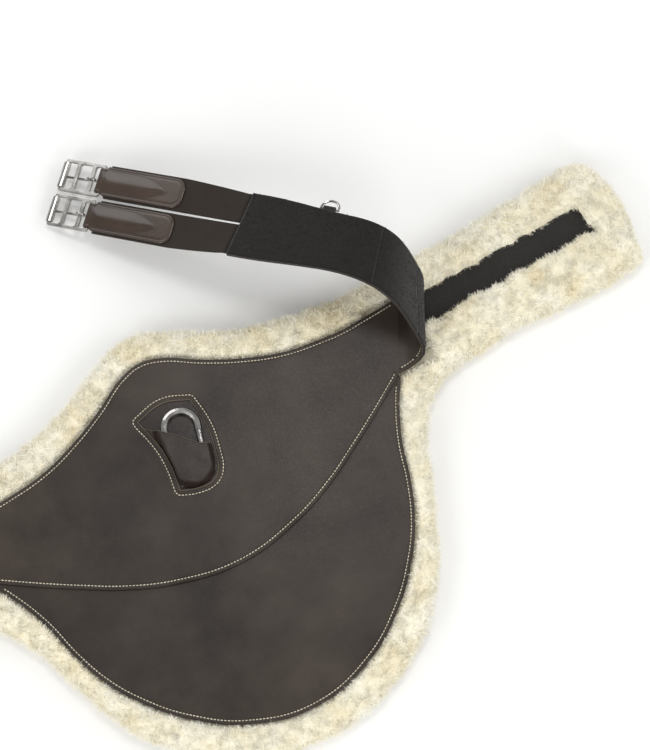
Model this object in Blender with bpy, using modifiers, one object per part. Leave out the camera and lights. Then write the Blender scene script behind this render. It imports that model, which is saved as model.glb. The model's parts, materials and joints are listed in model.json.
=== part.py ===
"""Stud girth: a leather belly guard on a sheepskin, with a snap-hook pocket and two strap ends.

X runs along the girth, Y to the horse's front and Z up. The origin is on the floor under the
pocket. The right strap is peeled off its sheepskin and folded back; the left one lies flat.
"""

import math

import bmesh
import bpy
from mathutils import Matrix, Vector

MM = 0.001
GAP = 0.3 * MM

# Layers of the girth's body, from the floor up.
FLEECE = 20 * MM
LINING = 3 * MM
LEATHER = 3 * MM
OVERLAY = 2.6 * MM
BACKING = 1.2 * MM
LINING_Z = FLEECE + GAP
GUARD_Z = LINING_Z + LINING + GAP
OVERLAY_Z = GUARD_Z + LEATHER + GAP
HOOK_STRIP = 1.8 * MM
TAPE_CENTRE, TAPE_LEAN = Vector((340.5, 16.3)) * MM, math.radians(2)
TAPE_LENGTH, TAPE_WIDTH = 193 * MM, 30 * MM

# Strap ends, as distances along the strap from the neck.
NECK_X = 225 * MM
STRAP_Z = OVERLAY_Z - 0.15 * MM
FIRST_HINGE, SECOND_HINGE, THIRD_HINGE = 0, 38 * MM, 76 * MM
STRAP_END = 252 * MM
HINGE_GAP = 0.5 * MM
STRAP_LEATHER = (0.15 * MM, 2.75 * MM)
STRAP_LINING = (-1.95 * MM, -0.15 * MM)
ELASTIC_THICK = 2.4 * MM
ELASTIC_WIDTH = 33 * MM
ELASTIC_APART = 35.4 * MM
BAR_AT = 406 * MM
CHAPE_LENGTH = 90 * MM
CHAPE_WIDTH = 29 * MM
THROAT_WIDTH = 24 * MM
RING_AT = 178 * MM

# Folded leather: length, width, the fold's inner radius, thickness, half the gap inside it.
CHAPE = (CHAPE_LENGTH, CHAPE_WIDTH, 2.6 * MM, 1.8 * MM, 1.5 * MM)
RING_TAB = (16 * MM, 11 * MM, 1.7 * MM, 1.3 * MM, 0.15 * MM)

# The rolled end of the right strap: bend angles and the way the crease leans across it.
CREASE_START, CREASE_END = math.radians(63), math.radians(97.5)
CREASE_FROM, CREASE_TO = 60 * MM, 171 * MM
ROLL_START = -5 * MM
FIRST_ROLL, FIRST_ROLL_ANGLE = 54 * MM, math.radians(118)
SECOND_ROLL, SECOND_ROLL_ANGLE = 103 * MM, math.radians(62)
DROOP = math.radians(41.6)
ELASTIC_TWIST, ELASTIC_TURN = math.radians(-290), math.radians(28)
LEFT_CREASE = math.radians(90)
SAG_FROM, SAG_TO, LEFT_SAG = 250 * MM, 280 * MM, math.radians(7.24)

# Buckles: distances from the bar that the chape holds.
FRAME_THICK = 3 * MM
FRAME_HALF = 16.2 * MM
WINDOW_HALF = 12.9 * MM
ROLLER_AT = 42 * MM
TONGUE_BAR_AT = 11 * MM
WINDOWS = ((1.6, 9.0), (13.0, 26.0), (30.0, 40.3))
ROLLER_OUTER, ROLLER_INNER = 3.6 * MM, 2.6 * MM
TONGUE_WIRE = 1.35 * MM
TONGUE_RING = 3.9 * MM

# Snap hook in its pocket.
WIRE = 3.5 * MM
HOOK_TOP_RADIUS, HOOK_BOTTOM_RADIUS = 15.5 * MM, 11.5 * MM
HOOK_TOP, HOOK_BOTTOM = 16.2 * MM, -20.4 * MM
HOOK_CENTRE = Vector((4.6, -1.8)) * MM
HOOK_LEAN = math.radians(-9)
HOOK_Z = OVERLAY_Z + BACKING + GAP + WIRE
NOSE_AT, GATE_HINGE_AT = 9 * MM, -13.5 * MM
PIN_RADIUS, PIN_HOLE = 0.9 * MM, 1.2 * MM
FLAP_THICK = 1.6 * MM

# Half outlines, front middle to rear middle, in millimetres: smooth points and corners.
SMOOTH, CORNER = "AUTO", "VECTOR"
FRONT_EDGE = (
    (0, 87, SMOOTH), (21, 82, SMOOTH), (53, 63.5, SMOOTH), (86, 47.6, SMOOTH),
    (121.5, 35.3, SMOOTH), (160, 29.6, SMOOTH), (180, 28.3, SMOOTH), (202, 29.5, SMOOTH),
)
GUARD_REAR = (
    (207, 29, CORNER), (207.5, -37, CORNER), (196, -56, SMOOTH), (180.5, -90, SMOOTH),
    (170, -126, SMOOTH), (156, -160, SMOOTH), (135.5, -191, SMOOTH), (106, -222, SMOOTH),
    (60, -252, SMOOTH), (0, -266, SMOOTH),
)
OVERLAY_REAR = (
    (203, -36.5, CORNER), (169, -58, SMOOTH), (137, -77, SMOOTH), (106, -94, SMOOTH),
    (60, -112, SMOOTH), (0, -122, SMOOTH),
)
SHEEPSKIN_EDGE = (
    (0, 115, SMOOTH), (32, 106, SMOOTH), (65, 89, SMOOTH), (99, 74.5, SMOOTH),
    (136, 65.5, SMOOTH), (174, 60, SMOOTH), (230, 58, SMOOTH), (300, 61.5, SMOOTH),
    (363, 66, SMOOTH), (427, 71, SMOOTH), (455, 71, SMOOTH), (466, 60, SMOOTH),
    (469, -22, SMOOTH), (464, -37, SMOOTH), (448, -42, SMOOTH), (360, -41.5, SMOOTH),
    (284, -43.5, SMOOTH), (252, -48.5, SMOOTH), (230, -61, SMOOTH), (214, -76, SMOOTH),
    (199, -100, SMOOTH), (180, -148, SMOOTH), (164, -186, SMOOTH), (142, -222, SMOOTH),
    (107, -257, SMOOTH), (60, -282, SMOOTH), (0, -291, SMOOTH),
)
POCKET_WINDOW = (
    (-25.6, 37.6, CORNER), (2.5, 43, SMOOTH), (26.2, 34.7, CORNER), (29.2, 7.2, SMOOTH),
    (25.6, -18, SMOOTH), (18.8, -37.4, SMOOTH), (10.5, -43, SMOOTH), (-5, -42.5, SMOOTH),
    (-19.7, -37.2, CORNER), (-17, -15, SMOOTH), (-17.8, 6, SMOOTH),
)
FLAP_OUTLINE = (
    (-22.5, 29), (-4, 12), (15.2, -7.6), (25, -12), (22, -25), (16.5, -36.5), (9, -41.3),
    (-5, -40.8), (-17.6, -36), (-15.2, -15), (-16, 6),
)

PARTS = "stud_girth"
CUTTERS = "cutters"


def new_scene():
    for obj in list(bpy.data.objects):
        bpy.data.objects.remove(obj)
    for name in (PARTS, CUTTERS):
        collection = bpy.data.collections.new(name)
        bpy.context.scene.collection.children.link(collection)


def material(name, colour, roughness, metallic=0.0):
    made = bpy.data.materials.new(name)
    made.use_nodes = True
    shader = made.node_tree.nodes["Principled BSDF"]
    shader.inputs["Base Color"].default_value = (*colour, 1)
    shader.inputs["Roughness"].default_value = roughness
    shader.inputs["Metallic"].default_value = metallic
    made.diffuse_color = (*colour, 1)
    return made


def place(obj, matrix, surface=None):
    """Put a piece in the parts' collection, with its own copy of a material."""
    bpy.data.collections[PARTS].objects.link(obj)
    obj.matrix_world = matrix
    if surface:
        own = surface.copy()
        own.name = obj.name
        obj.data.materials.clear()
        obj.data.materials.append(own)
    return obj


def as_cutter(obj):
    bpy.data.collections[PARTS].objects.unlink(obj)
    bpy.data.collections[CUTTERS].objects.link(obj)
    obj.hide_render = True
    obj.display_type = "WIRE"
    return obj


def boolean(obj, cutter, operation="DIFFERENCE"):
    modifier = obj.modifiers.new(operation.lower(), "BOOLEAN")
    modifier.operation = operation
    modifier.solver = "EXACT"
    modifier.object = as_cutter(cutter)
    return obj


def to_mesh(obj):
    """A curve's evaluated mesh with its caps welded, in the curve's place."""
    bpy.context.view_layer.update()
    evaluated = obj.evaluated_get(bpy.context.evaluated_depsgraph_get())
    mesh = bpy.data.meshes.new_from_object(evaluated)
    work = bmesh.new()
    work.from_mesh(mesh)
    bmesh.ops.remove_doubles(work, verts=work.verts, dist=0.001 * MM)
    bmesh.ops.recalc_face_normals(work, faces=work.faces)
    work.to_mesh(mesh)
    work.free()
    name, matrix = obj.name, obj.matrix_world.copy()
    surfaces = list(obj.data.materials)
    bpy.data.objects.remove(obj)
    made = bpy.data.objects.new(name, mesh)
    bpy.data.collections[PARTS].objects.link(made)
    made.matrix_world = matrix
    mesh.materials.clear()
    for surface in surfaces:
        mesh.materials.append(surface)
    return made


def flat_curve(name, outlines, thickness, steps=6):
    """A piece cut from sheet: closed outlines of (x, y, handle) in millimetres, holes after."""
    curve = bpy.data.curves.new(name, "CURVE")
    curve.dimensions = "2D"
    curve.fill_mode = "BOTH"
    curve.extrude = thickness / 2
    curve.resolution_u = steps
    for outline in outlines:
        spline = curve.splines.new("BEZIER")
        spline.bezier_points.add(len(outline) - 1)
        spline.use_cyclic_u = True
        for point, (x, y, handle) in zip(spline.bezier_points, outline):
            point.co = (x * MM, y * MM, 0)
            point.handle_left_type = point.handle_right_type = handle
    return bpy.data.objects.new(name, curve)


def sheet(name, outlines, low, thickness, surface, steps=6):
    raised = Matrix.Translation((0, 0, low + thickness / 2))
    return place(flat_curve(name, outlines, thickness, steps), raised, surface)


def mirrored(half):
    """A whole outline from its half, which starts and ends on the middle line."""
    other = [(-x, y, handle) for x, y, handle in reversed(half) if abs(x) > 0.01]
    return list(half) + other


def prism(name, points, thickness, matrix, surface=None):
    """A straight-sided solid from a closed outline of (x, y) in metres."""
    curve = bpy.data.curves.new(name, "CURVE")
    curve.dimensions = "2D"
    curve.fill_mode = "BOTH"
    curve.extrude = thickness / 2
    spline = curve.splines.new("POLY")
    spline.points.add(len(points) - 1)
    spline.use_cyclic_u = True
    for point, (x, y) in zip(spline.points, points):
        point.co = (x, y, 0, 1)
    return place(bpy.data.objects.new(name, curve), matrix, surface)


def wire(name, points, radius, matrix, surface, closed=False):
    curve = bpy.data.curves.new(name, "CURVE")
    curve.dimensions = "3D"
    curve.bevel_depth = radius
    curve.bevel_resolution = 2
    curve.use_fill_caps = True
    spline = curve.splines.new("POLY")
    spline.points.add(len(points) - 1)
    spline.use_cyclic_u = closed
    for point, co in zip(spline.points, points):
        point.co = (*co, 1)
    return place(bpy.data.objects.new(name, curve), matrix, surface)


def cylinder(name, radius, depth, matrix, surface=None, segments=24):
    mesh = bpy.data.meshes.new(name)
    work = bmesh.new()
    bmesh.ops.create_cone(
        work, cap_ends=True, segments=segments, radius1=radius, radius2=radius, depth=depth
    )
    work.to_mesh(mesh)
    work.free()
    return place(bpy.data.objects.new(name, mesh), matrix, surface)


def box(name, size, matrix, surface=None):
    mesh = bpy.data.meshes.new(name)
    work = bmesh.new()
    bmesh.ops.create_cube(work, size=1)
    bmesh.ops.scale(work, vec=size, verts=work.verts)
    work.to_mesh(mesh)
    work.free()
    return place(bpy.data.objects.new(name, mesh), matrix, surface)


def arc(centre, radius, start, end, steps):
    """Points (x, y) along an arc between two angles in degrees."""
    turns = [math.radians(start + (end - start) * i / steps) for i in range(steps + 1)]
    return [(centre[0] + radius * math.cos(t), centre[1] + radius * math.sin(t)) for t in turns]


def ease(value):
    value = min(max(value, 0), 1)
    return value * value * (3 - 2 * value)


class Strap:
    """A strap end's middle line: where it lies and how it is turned at each distance."""

    STEP = 1 * MM

    def __init__(self, side):
        self.side = side
        self.rolled = side == "right"
        self.front = 1 if self.rolled else -1
        self.frames = [self.start()]
        for i in range(int(BAR_AT / self.STEP) + 60):
            self.frames.append(self.next(self.frames[-1], i * self.STEP))

    def start(self):
        out = 1 if self.rolled else -1
        turn = Matrix.Rotation(0 if self.rolled else math.pi, 4, "Z")
        return Matrix.Translation((out * NECK_X, 0, STRAP_Z)) @ turn

    def crease(self, s):
        """The angle between the strap and the line that it bends about."""
        if not self.rolled:
            return LEFT_CREASE
        if s > STRAP_END + 8 * MM:
            return math.pi / 2
        share = min(max((s - CREASE_FROM) / (CREASE_TO - CREASE_FROM), 0), 1)
        return CREASE_START + (CREASE_END - CREASE_START) * share

    def bend(self, s):
        """How sharply the strap rolls, in radians per metre across the crease."""
        if not self.rolled:
            return -LEFT_SAG / (SAG_TO - SAG_FROM) if SAG_FROM < s < SAG_TO else 0
        d = (s - ROLL_START) * math.sin(CREASE_START)
        if d < FIRST_ROLL:
            return FIRST_ROLL_ANGLE / FIRST_ROLL * (1 - math.cos(math.tau * d / FIRST_ROLL))
        d -= FIRST_ROLL
        second = SECOND_ROLL_ANGLE / SECOND_ROLL * (1 - math.cos(math.tau * d / SECOND_ROLL))
        return DROOP + (second if d < SECOND_ROLL else 0)

    def slack(self, s):
        """How fast the loose elastics twist and turn sideways, in radians per metre."""
        on_elastic = STRAP_END < s < BAR_AT - CHAPE_LENGTH
        return (ELASTIC_TWIST, ELASTIC_TURN) if self.rolled and on_elastic else (0, 0)

    def next(self, frame, s):
        angle = self.crease(s)
        line = Vector((math.cos(angle), math.sin(angle), 0))
        flat = s > BAR_AT - CHAPE_LENGTH
        roll = 0 if flat else -self.bend(s) * self.STEP * math.sin(angle)
        twist, turn = self.slack(s)
        turned = frame @ Matrix.Rotation(roll, 4, line)
        turned = turned @ Matrix.Rotation(twist * self.STEP, 4, "X")
        turned = turned @ Matrix.Rotation(turn * self.STEP, 4, "Z")
        return turned @ Matrix.Translation((self.STEP, 0, 0))

    def frame(self, s):
        """Origin on the middle line; X along the strap, Y across it, Z out of the leather."""
        place_in = s / self.STEP
        i = min(max(int(place_in), 0), len(self.frames) - 2)
        return self.frames[i].lerp(self.frames[i + 1], place_in - i)

    def point(self, s, across, out=0.0):
        """A point s along and across the flat strap, after the strap has rolled."""
        foot = s
        for _ in range(4):
            foot = s - across / math.tan(self.crease(foot))
        return self.frame(foot) @ Vector((s - foot, across, out))

    def half_width(self, s):
        waist = 30.5 * MM
        if s < 150 * MM:
            return waist + (32.5 * MM - waist) * (1 - ease(s / (50 * MM)))
        return waist + (35.5 * MM - waist) * ease((s - 150 * MM) / (90 * MM))


def strip(name, strap, start, end, half, out, surface, middle=0.0, steps=12):
    """A bent strip of sheet. Start and end are each (distance, how far it leans per width)."""
    low, high = out
    (s0, lean0), (s1, lean1) = start, end
    mesh = bpy.data.meshes.new(name)
    work = bmesh.new()
    bmesh.ops.create_grid(work, x_segments=steps, y_segments=4, size=0.5)
    for vertex in work.verts:
        along, across = vertex.co.x + 0.5, 2 * vertex.co.y
        s = s0 + (s1 - s0) * along
        width = half(s) if callable(half) else half
        slant = across * width * (lean0 * (1 - along) + lean1 * along)
        vertex.co = strap.point(s + slant, middle + across * width)
    work.normal_update()
    for vertex in work.verts:
        vertex.co += vertex.normal * (low + high) / 2
    work.to_mesh(mesh)
    work.free()
    obj = place(bpy.data.objects.new(name, mesh), Matrix.Identity(4), surface)
    thick = obj.modifiers.new("thickness", "SOLIDIFY")
    thick.thickness = high - low
    thick.offset = 0
    return obj


def folded_tab(name, matrix, sizes, surface):
    """Leather folded round a bar that lies on Y: a U section with its open end at -X."""
    length, width, bar_radius, thick, inner = sizes
    outer = bar_radius + thick
    section = arc((0, 0), outer, 90, -90, 12)
    section += [(-1.7 * outer, -inner - thick), (-length, -inner - thick), (-length, -inner)]
    reach = math.sqrt(bar_radius**2 - inner**2)
    section += [(-reach, -inner)]
    turn = math.degrees(math.atan2(inner, -reach))
    section += arc((0, 0), bar_radius, -turn, turn, 12)[1:-1]
    section += [(-reach, inner), (-length, inner), (-length, inner + thick)]
    section += [(-1.7 * outer, inner + thick)]
    upright = Matrix.Rotation(math.radians(90), 4, "X")
    return prism(name, section, width, matrix @ upright, surface)


def make_body(look):
    """The flat layers of the girth, with the window of the snap-hook pocket."""
    inset = [(x * 0.975, y * 0.965 - 1.5, handle) for x, y, handle in FRONT_EDGE + GUARD_REAR]
    sheet("sheepskin", [mirrored(SHEEPSKIN_EDGE)], 0, FLEECE, look["wool"])
    sheet("guard_lining", [mirrored(inset)], LINING_Z, LINING, look["lining"])
    guard = mirrored(FRONT_EDGE + GUARD_REAR)
    sheet("belly_guard_panel", [guard], GUARD_Z, LEATHER, look["leather"])

    hinge_mm = (NECK_X + FIRST_HINGE - HINGE_GAP) / MM
    lean = 1 / math.tan(CREASE_START)
    right = [(hinge_mm + 32 * lean, 32, CORNER), (hinge_mm - 32.5 * lean, -32.5, CORNER)]
    left = [(-hinge_mm, -32.2, CORNER), (-hinge_mm, 32.2, CORNER)]
    front, rear = list(FRONT_EDGE), list(OVERLAY_REAR)
    outline = front + right + rear
    outline += [(-x, y, handle) for x, y, handle in reversed(rear[:-1])] + left
    outline += [(-x, y, handle) for x, y, handle in reversed(front[1:])]
    sheet("girth_overlay", [outline, POCKET_WINDOW], OVERLAY_Z, OVERLAY, look["leather"])

    in_window = [
        (x - math.copysign(0.9, x - 3), y - math.copysign(0.9, y), handle)
        for x, y, handle in POCKET_WINDOW
    ]
    sheet("pocket_backing", [in_window], OVERLAY_Z, BACKING, look["leather"])
    for side in (-1, 1):
        name = "right_hook_strip" if side > 0 else "left_hook_strip"
        middle = Vector((side * TAPE_CENTRE.x, TAPE_CENTRE.y, FLEECE + GAP + HOOK_STRIP / 2))
        lie = Matrix.Translation(middle) @ Matrix.Rotation(side * TAPE_LEAN, 4, "Z")
        box(name, (TAPE_LENGTH, TAPE_WIDTH, HOOK_STRIP), lie, look["loop"])


def hook_outline():
    """The snap hook's middle line: from the nose over the top and round to the gate's hinge."""
    taper = math.degrees(
        math.asin((HOOK_TOP_RADIUS - HOOK_BOTTOM_RADIUS) / (HOOK_TOP - HOOK_BOTTOM))
    )
    top = arc((0, HOOK_TOP), HOOK_TOP_RADIUS, -taper, 180 + taper, 20)
    bottom = arc((0, HOOK_BOTTOM), HOOK_BOTTOM_RADIUS, 180 + taper, 360 - taper, 16)
    return [(gate_x(NOSE_AT), NOSE_AT)] + top + bottom + [(gate_x(GATE_HINGE_AT), GATE_HINGE_AT)]


def gate_x(a):
    """How far the straight right leg stands from the hook's axis at height a."""
    share = (a - HOOK_BOTTOM) / (HOOK_TOP - HOOK_BOTTOM)
    return (HOOK_BOTTOM_RADIUS + (HOOK_TOP_RADIUS - HOOK_BOTTOM_RADIUS) * share) * 1.004


def flap_height(x, y, hook_matrix):
    """How far the moulded flap stands over the pocket's backing at a point."""
    legs = [(sign * gate_x(a * MM), a * MM) for a in range(-21, 18, 3) for sign in (-1, 1)]
    points = [hook_matrix @ Vector((px, py, 0)) for px, py in hook_outline() + legs]
    near = min((Vector((x, y)) - point.to_2d()).length for point in points)
    inside = 1 - ease((near - 6.2 * MM) / (6 * MM))
    span = (Vector((x, y)) - Vector((3.4, -14)) * MM).length
    middle = 1 - ease((span - 13 * MM) / (6 * MM))
    return max(inside, middle)


def make_pocket(look):
    """The snap hook, its gate and pin, the keeper through it and the flap over it."""
    turn = Matrix.Rotation(HOOK_LEAN, 4, "Z")
    hook = Matrix.Translation((HOOK_CENTRE.x, HOOK_CENTRE.y, HOOK_Z)) @ turn
    points = [(x, y, 0) for x, y in hook_outline()]
    body = to_mesh(wire("snap_hook_body", points, WIRE, hook, look["steel"]))
    pivot = Vector((gate_x(GATE_HINGE_AT - 3 * MM), GATE_HINGE_AT - 3 * MM, 0))
    slot = box("slot", (12 * MM, 9 * MM, 2.6 * MM), hook @ Matrix.Translation(pivot))
    boolean(body, slot)
    hinge = hook @ Matrix.Translation(pivot)
    boolean(body, cylinder("hole", PIN_HOLE, 12 * MM, hinge, None, 16))
    cylinder("snap_hook_gate_pin", PIN_RADIUS, 6.6 * MM, hinge, look["steel"], 16)

    root, tip = GATE_HINGE_AT + 2.6 * MM, NOSE_AT - 0.5 * MM
    foot, head = Vector((gate_x(root), root, 0)), Vector((gate_x(tip), tip, 0))
    lie = (head - foot).to_track_quat("Z", "Y").to_matrix().to_4x4()
    middle = Matrix.Translation((foot + head) / 2) @ lie
    rod = cylinder("gate_rod", 3.1 * MM, (head - foot).length, hook @ middle, None, 20)
    tongue_at = hinge @ Matrix.Translation((0.3 * MM, 2.2 * MM, 0))
    tongue = box("gate_tongue", (4.4 * MM, 9 * MM, 2 * MM), tongue_at)
    gate = cylinder("snap_hook_gate", 2.2 * MM, 2 * MM, hinge, look["steel"], 16)
    boolean(gate, tongue, "UNION")
    boolean(gate, rod, "UNION")
    boolean(gate, cylinder("gate_hole", PIN_HOLE, 12 * MM, hinge, None, 16))

    keeper = hook @ Matrix.Translation((0, -21.5 * MM, 0))
    box("hook_keeper", (10 * MM, 4 * MM, 2 * WIRE - 0.2 * MM), keeper, look["leather"])

    make_flap(hook, look)


def make_flap(hook, look):
    """The moulded leather over the lower half of the hook, cut to its outline."""
    mesh = bpy.data.meshes.new("pocket_flap")
    work = bmesh.new()
    bmesh.ops.create_grid(work, x_segments=18, y_segments=26, size=0.5)
    low = OVERLAY_Z + BACKING + GAP + FLAP_THICK / 2
    rise = 2 * WIRE + 0.9 * MM
    for vertex in work.verts:
        x, y = 4 * MM + 50 * MM * vertex.co.x, -6 * MM + 80 * MM * vertex.co.y
        vertex.co = (x, y, low + rise * flap_height(x, y, hook))
    work.to_mesh(mesh)
    work.free()
    flap = place(bpy.data.objects.new("pocket_flap", mesh), Matrix.Identity(4), look["leather"])
    thick = flap.modifiers.new("thickness", "SOLIDIFY")
    thick.thickness = FLAP_THICK
    thick.offset = 0
    plan = [(x * MM, y * MM) for x, y in FLAP_OUTLINE]
    above = Matrix.Translation((0, 0, low + rise / 2))
    boolean(flap, to_mesh(prism("flap_plan", plan, 30 * MM, above)), "INTERSECT")


def make_strap(strap, look):
    """The leather, its loop lining and the ring tab of one strap end."""
    side = strap.side
    cuts = (
        ("roll_1", FIRST_HINGE, SECOND_HINGE),
        ("roll_2", SECOND_HINGE, THIRD_HINGE),
        ("end", THIRD_HINGE, STRAP_END),
    )
    for part, s0, s1 in cuts:
        last = part == "end"
        start = (s0 + HINGE_GAP, 1 / math.tan(strap.crease(s0)))
        end = (s1 if last else s1 - HINGE_GAP, 0 if last else 1 / math.tan(strap.crease(s1)))
        name = f"{side}_strap_leather_{part}"
        strip(name, strap, start, end, strap.half_width, STRAP_LEATHER, look["leather"])
        name = f"{side}_strap_lining_{part}"
        strip(name, strap, start, end, strap.half_width, STRAP_LINING, look["loop"])

    edge = strap.half_width(RING_AT) * strap.front
    towards_edge = Matrix.Rotation(math.radians(90) * strap.front, 4, "Z")
    above = Vector((0, edge + 5 * MM * strap.front, STRAP_LEATHER[1] + 2.3 * MM))
    ring = strap.frame(RING_AT) @ Matrix.Translation(above) @ towards_edge
    folded_tab(f"{side}_ring_tab", ring, RING_TAB, look["leather"])
    round_part = arc((1 * MM, 0), 8.6 * MM, -75, 75, 12)
    loop = [(0, -8.7 * MM)] + round_part + [(0, 8.7 * MM)]
    wire(f"{side}_ring", [(x, y, 0) for x, y in loop], 1.2 * MM, ring, look["steel"], True)


def rounded_box(x0, x1, half, radius):
    """A rounded rectangle along X, as flat_curve points in millimetres."""
    points = []
    for x, y, turn in ((x1, half, 0), (x0, half, 90), (x0, -half, 180), (x1, -half, 270)):
        centre_x = x - math.copysign(radius, x - (x0 + x1) / 2)
        centre_y = y - math.copysign(radius, y)
        corner = arc((centre_x, centre_y), radius, turn, turn + 90, 3)
        points += [(px, py, CORNER) for px, py in corner]
    return points


def make_billet_end(strap, name, middle, look):
    """One elastic with its chape and roller buckle; the tongue is on the outer side."""
    full = f"{strap.side}_{name}"
    start, end = (STRAP_END + GAP, 0), (BAR_AT - 7 * MM, 0)
    faces = (-ELASTIC_THICK / 2, ELASTIC_THICK / 2)
    strip(f"{full}_elastic", strap, start, end, ELASTIC_WIDTH / 2, faces, look["elastic"], middle)

    bar = strap.frame(BAR_AT) @ Matrix.Translation((0, middle, 0))
    chape = to_mesh(folded_tab(f"{full}_chape", bar, CHAPE, look["chape"]))
    width, throat = CHAPE_WIDTH / 2, THROAT_WIDTH / 2
    plan = [(6 * MM, -throat), (6 * MM, throat), (-4 * MM, throat), (-5.5 * MM, width)]
    plan += arc((-CHAPE_LENGTH + width * 1.02, 0), width, 90, 270, 14)
    plan += [(-5.5 * MM, -width), (-4 * MM, -throat)]
    boolean(chape, to_mesh(prism(f"{full}_plan", plan, 20 * MM, bar)), "INTERSECT")

    windows = [rounded_box(x0, x1, WINDOW_HALF / MM, 2) for x0, x1 in WINDOWS]
    outer = rounded_box(-1.5, 43.8, FRAME_HALF / MM, 2.4)
    frame = flat_curve(f"{full}_buckle_frame", [outer] + windows, FRAME_THICK - 1.2 * MM, 1)
    frame.data.bevel_depth = 0.6 * MM
    frame.data.bevel_resolution = 1
    frame.data.offset = -0.6 * MM
    place(frame, bar, look["steel"])

    axle = bar @ Matrix.Translation((ROLLER_AT, 0, 0)) @ Matrix.Rotation(math.radians(90), 4, "X")
    roller = cylinder(f"{full}_buckle_roller", ROLLER_OUTER, 24.6 * MM, axle, look["steel"], 20)
    boolean(roller, cylinder(f"{full}_roller_hole", ROLLER_INNER, 40 * MM, axle, None, 20))

    pivot = bar @ Matrix.Translation((TONGUE_BAR_AT, 0, 0))
    ring = [(x, 0, z) for x, z in arc((0, 0), TONGUE_RING, -235, 62, 18)]
    reach = ROLLER_AT - TONGUE_BAR_AT
    rest_z = ROLLER_OUTER + TONGUE_WIRE + GAP
    shaft = [(5 * MM, 0, TONGUE_RING * 0.9), (reach - 8 * MM, 0, rest_z * 0.97)]
    tip = [(reach, 0, rest_z), (reach + 2.5 * MM, 0, rest_z - 0.2 * MM)]
    wire(f"{full}_buckle_tongue", ring[:-3] + shaft + tip, TONGUE_WIRE, pivot, look["steel"])


def main():
    new_scene()
    look = {
        "leather": material("leather", (0.065, 0.05, 0.04), 0.42),
        "chape": material("chape_leather", (0.16, 0.125, 0.11), 0.3),
        "lining": material("lining", (0.03, 0.028, 0.026), 0.85),
        "loop": material("loop_cloth", (0.012, 0.011, 0.01), 0.95),
        "elastic": material("elastic", (0.04, 0.03, 0.022), 0.8),
        "wool": material("wool", (0.87, 0.79, 0.62), 1.0),
        "steel": material("steel", (0.72, 0.71, 0.69), 0.22, 1.0),
    }
    make_body(look)
    make_pocket(look)
    for side in ("left", "right"):
        strap = Strap(side)
        make_strap(strap, look)
        for name, sign in (("front", 1), ("rear", -1)):
            middle = sign * strap.front * ELASTIC_APART / 2
            make_billet_end(strap, name, middle, look)


main()
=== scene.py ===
import json
import math

import bpy
import numpy as np
from mathutils import Matrix, Vector, noise
from mathutils.geometry import delaunay_2d_cdt

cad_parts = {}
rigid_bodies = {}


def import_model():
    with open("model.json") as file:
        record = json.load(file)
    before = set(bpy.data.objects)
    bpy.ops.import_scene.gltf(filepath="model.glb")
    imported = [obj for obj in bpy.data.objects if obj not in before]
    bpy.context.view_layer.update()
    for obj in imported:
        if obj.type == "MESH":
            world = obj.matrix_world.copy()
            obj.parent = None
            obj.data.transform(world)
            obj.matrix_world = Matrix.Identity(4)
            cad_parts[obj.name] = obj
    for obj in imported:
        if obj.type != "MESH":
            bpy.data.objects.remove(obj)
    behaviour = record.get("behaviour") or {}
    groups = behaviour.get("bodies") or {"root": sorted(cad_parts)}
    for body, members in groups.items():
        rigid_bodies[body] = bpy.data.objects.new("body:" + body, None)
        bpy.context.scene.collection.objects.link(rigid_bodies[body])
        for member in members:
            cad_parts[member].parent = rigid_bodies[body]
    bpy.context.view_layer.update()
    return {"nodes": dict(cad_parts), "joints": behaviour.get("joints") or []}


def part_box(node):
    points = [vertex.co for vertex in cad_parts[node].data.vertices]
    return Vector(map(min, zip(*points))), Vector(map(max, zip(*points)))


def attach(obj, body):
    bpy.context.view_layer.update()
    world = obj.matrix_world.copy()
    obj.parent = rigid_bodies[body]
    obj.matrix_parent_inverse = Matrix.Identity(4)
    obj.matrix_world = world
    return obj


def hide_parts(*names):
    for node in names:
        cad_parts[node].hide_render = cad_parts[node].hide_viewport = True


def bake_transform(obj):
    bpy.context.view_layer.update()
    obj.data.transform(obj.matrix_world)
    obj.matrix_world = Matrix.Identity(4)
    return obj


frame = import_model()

MM = 0.001
RNG = np.random.default_rng(7)
noise.seed_set(7)  # without a seed, noise_vector differs from run to run

# Heights of the girth's layers, from the CAD nodes.
LINING_LOW, LINING_HIGH = (corner.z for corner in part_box("guard_lining"))
GUARD_LOW, GUARD_HIGH = (corner.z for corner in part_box("belly_guard_panel"))
OVERLAY_LOW, OVERLAY_HIGH = (corner.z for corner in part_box("girth_overlay"))
BACKING_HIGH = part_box("pocket_backing")[1].z

# The strap ends' path, as in the CAD: distances along the strap from the neck, in metres.
NECK_X = 0.225
STRAP_Z = OVERLAY_LOW - 0.15 * MM
STRAP_END = 0.252
STRAP_LEATHER = (0.15 * MM, 2.75 * MM)
STRAP_LINING = (-1.95 * MM, -0.15 * MM)
ELASTIC_THICK, ELASTIC_WIDTH, ELASTIC_APART = 2.4 * MM, 33 * MM, 35.4 * MM
BAR_AT, CHAPE_LENGTH, CHAPE_WIDTH, THROAT_WIDTH = 0.406, 0.090, 0.029, 0.024
CREASE_START, CREASE_END = math.radians(63), math.radians(97.5)
CREASE_FROM, CREASE_TO = 0.060, 0.171
ROLL_START = -0.005
FIRST_ROLL, FIRST_ROLL_ANGLE = 0.054, math.radians(118)
SECOND_ROLL, SECOND_ROLL_ANGLE = 0.103, math.radians(62)
DROOP = math.radians(41.6)
ELASTIC_TWIST, ELASTIC_TURN = math.radians(-290), math.radians(28)
SAG_FROM, SAG_TO, LEFT_SAG = 0.250, 0.280, math.radians(7.24)
TAPE_CENTRE, TAPE_LEAN = (0.3405, 0.0163), math.radians(2)
TAPE_LENGTH, TAPE_WIDTH = 0.193, 0.030

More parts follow.
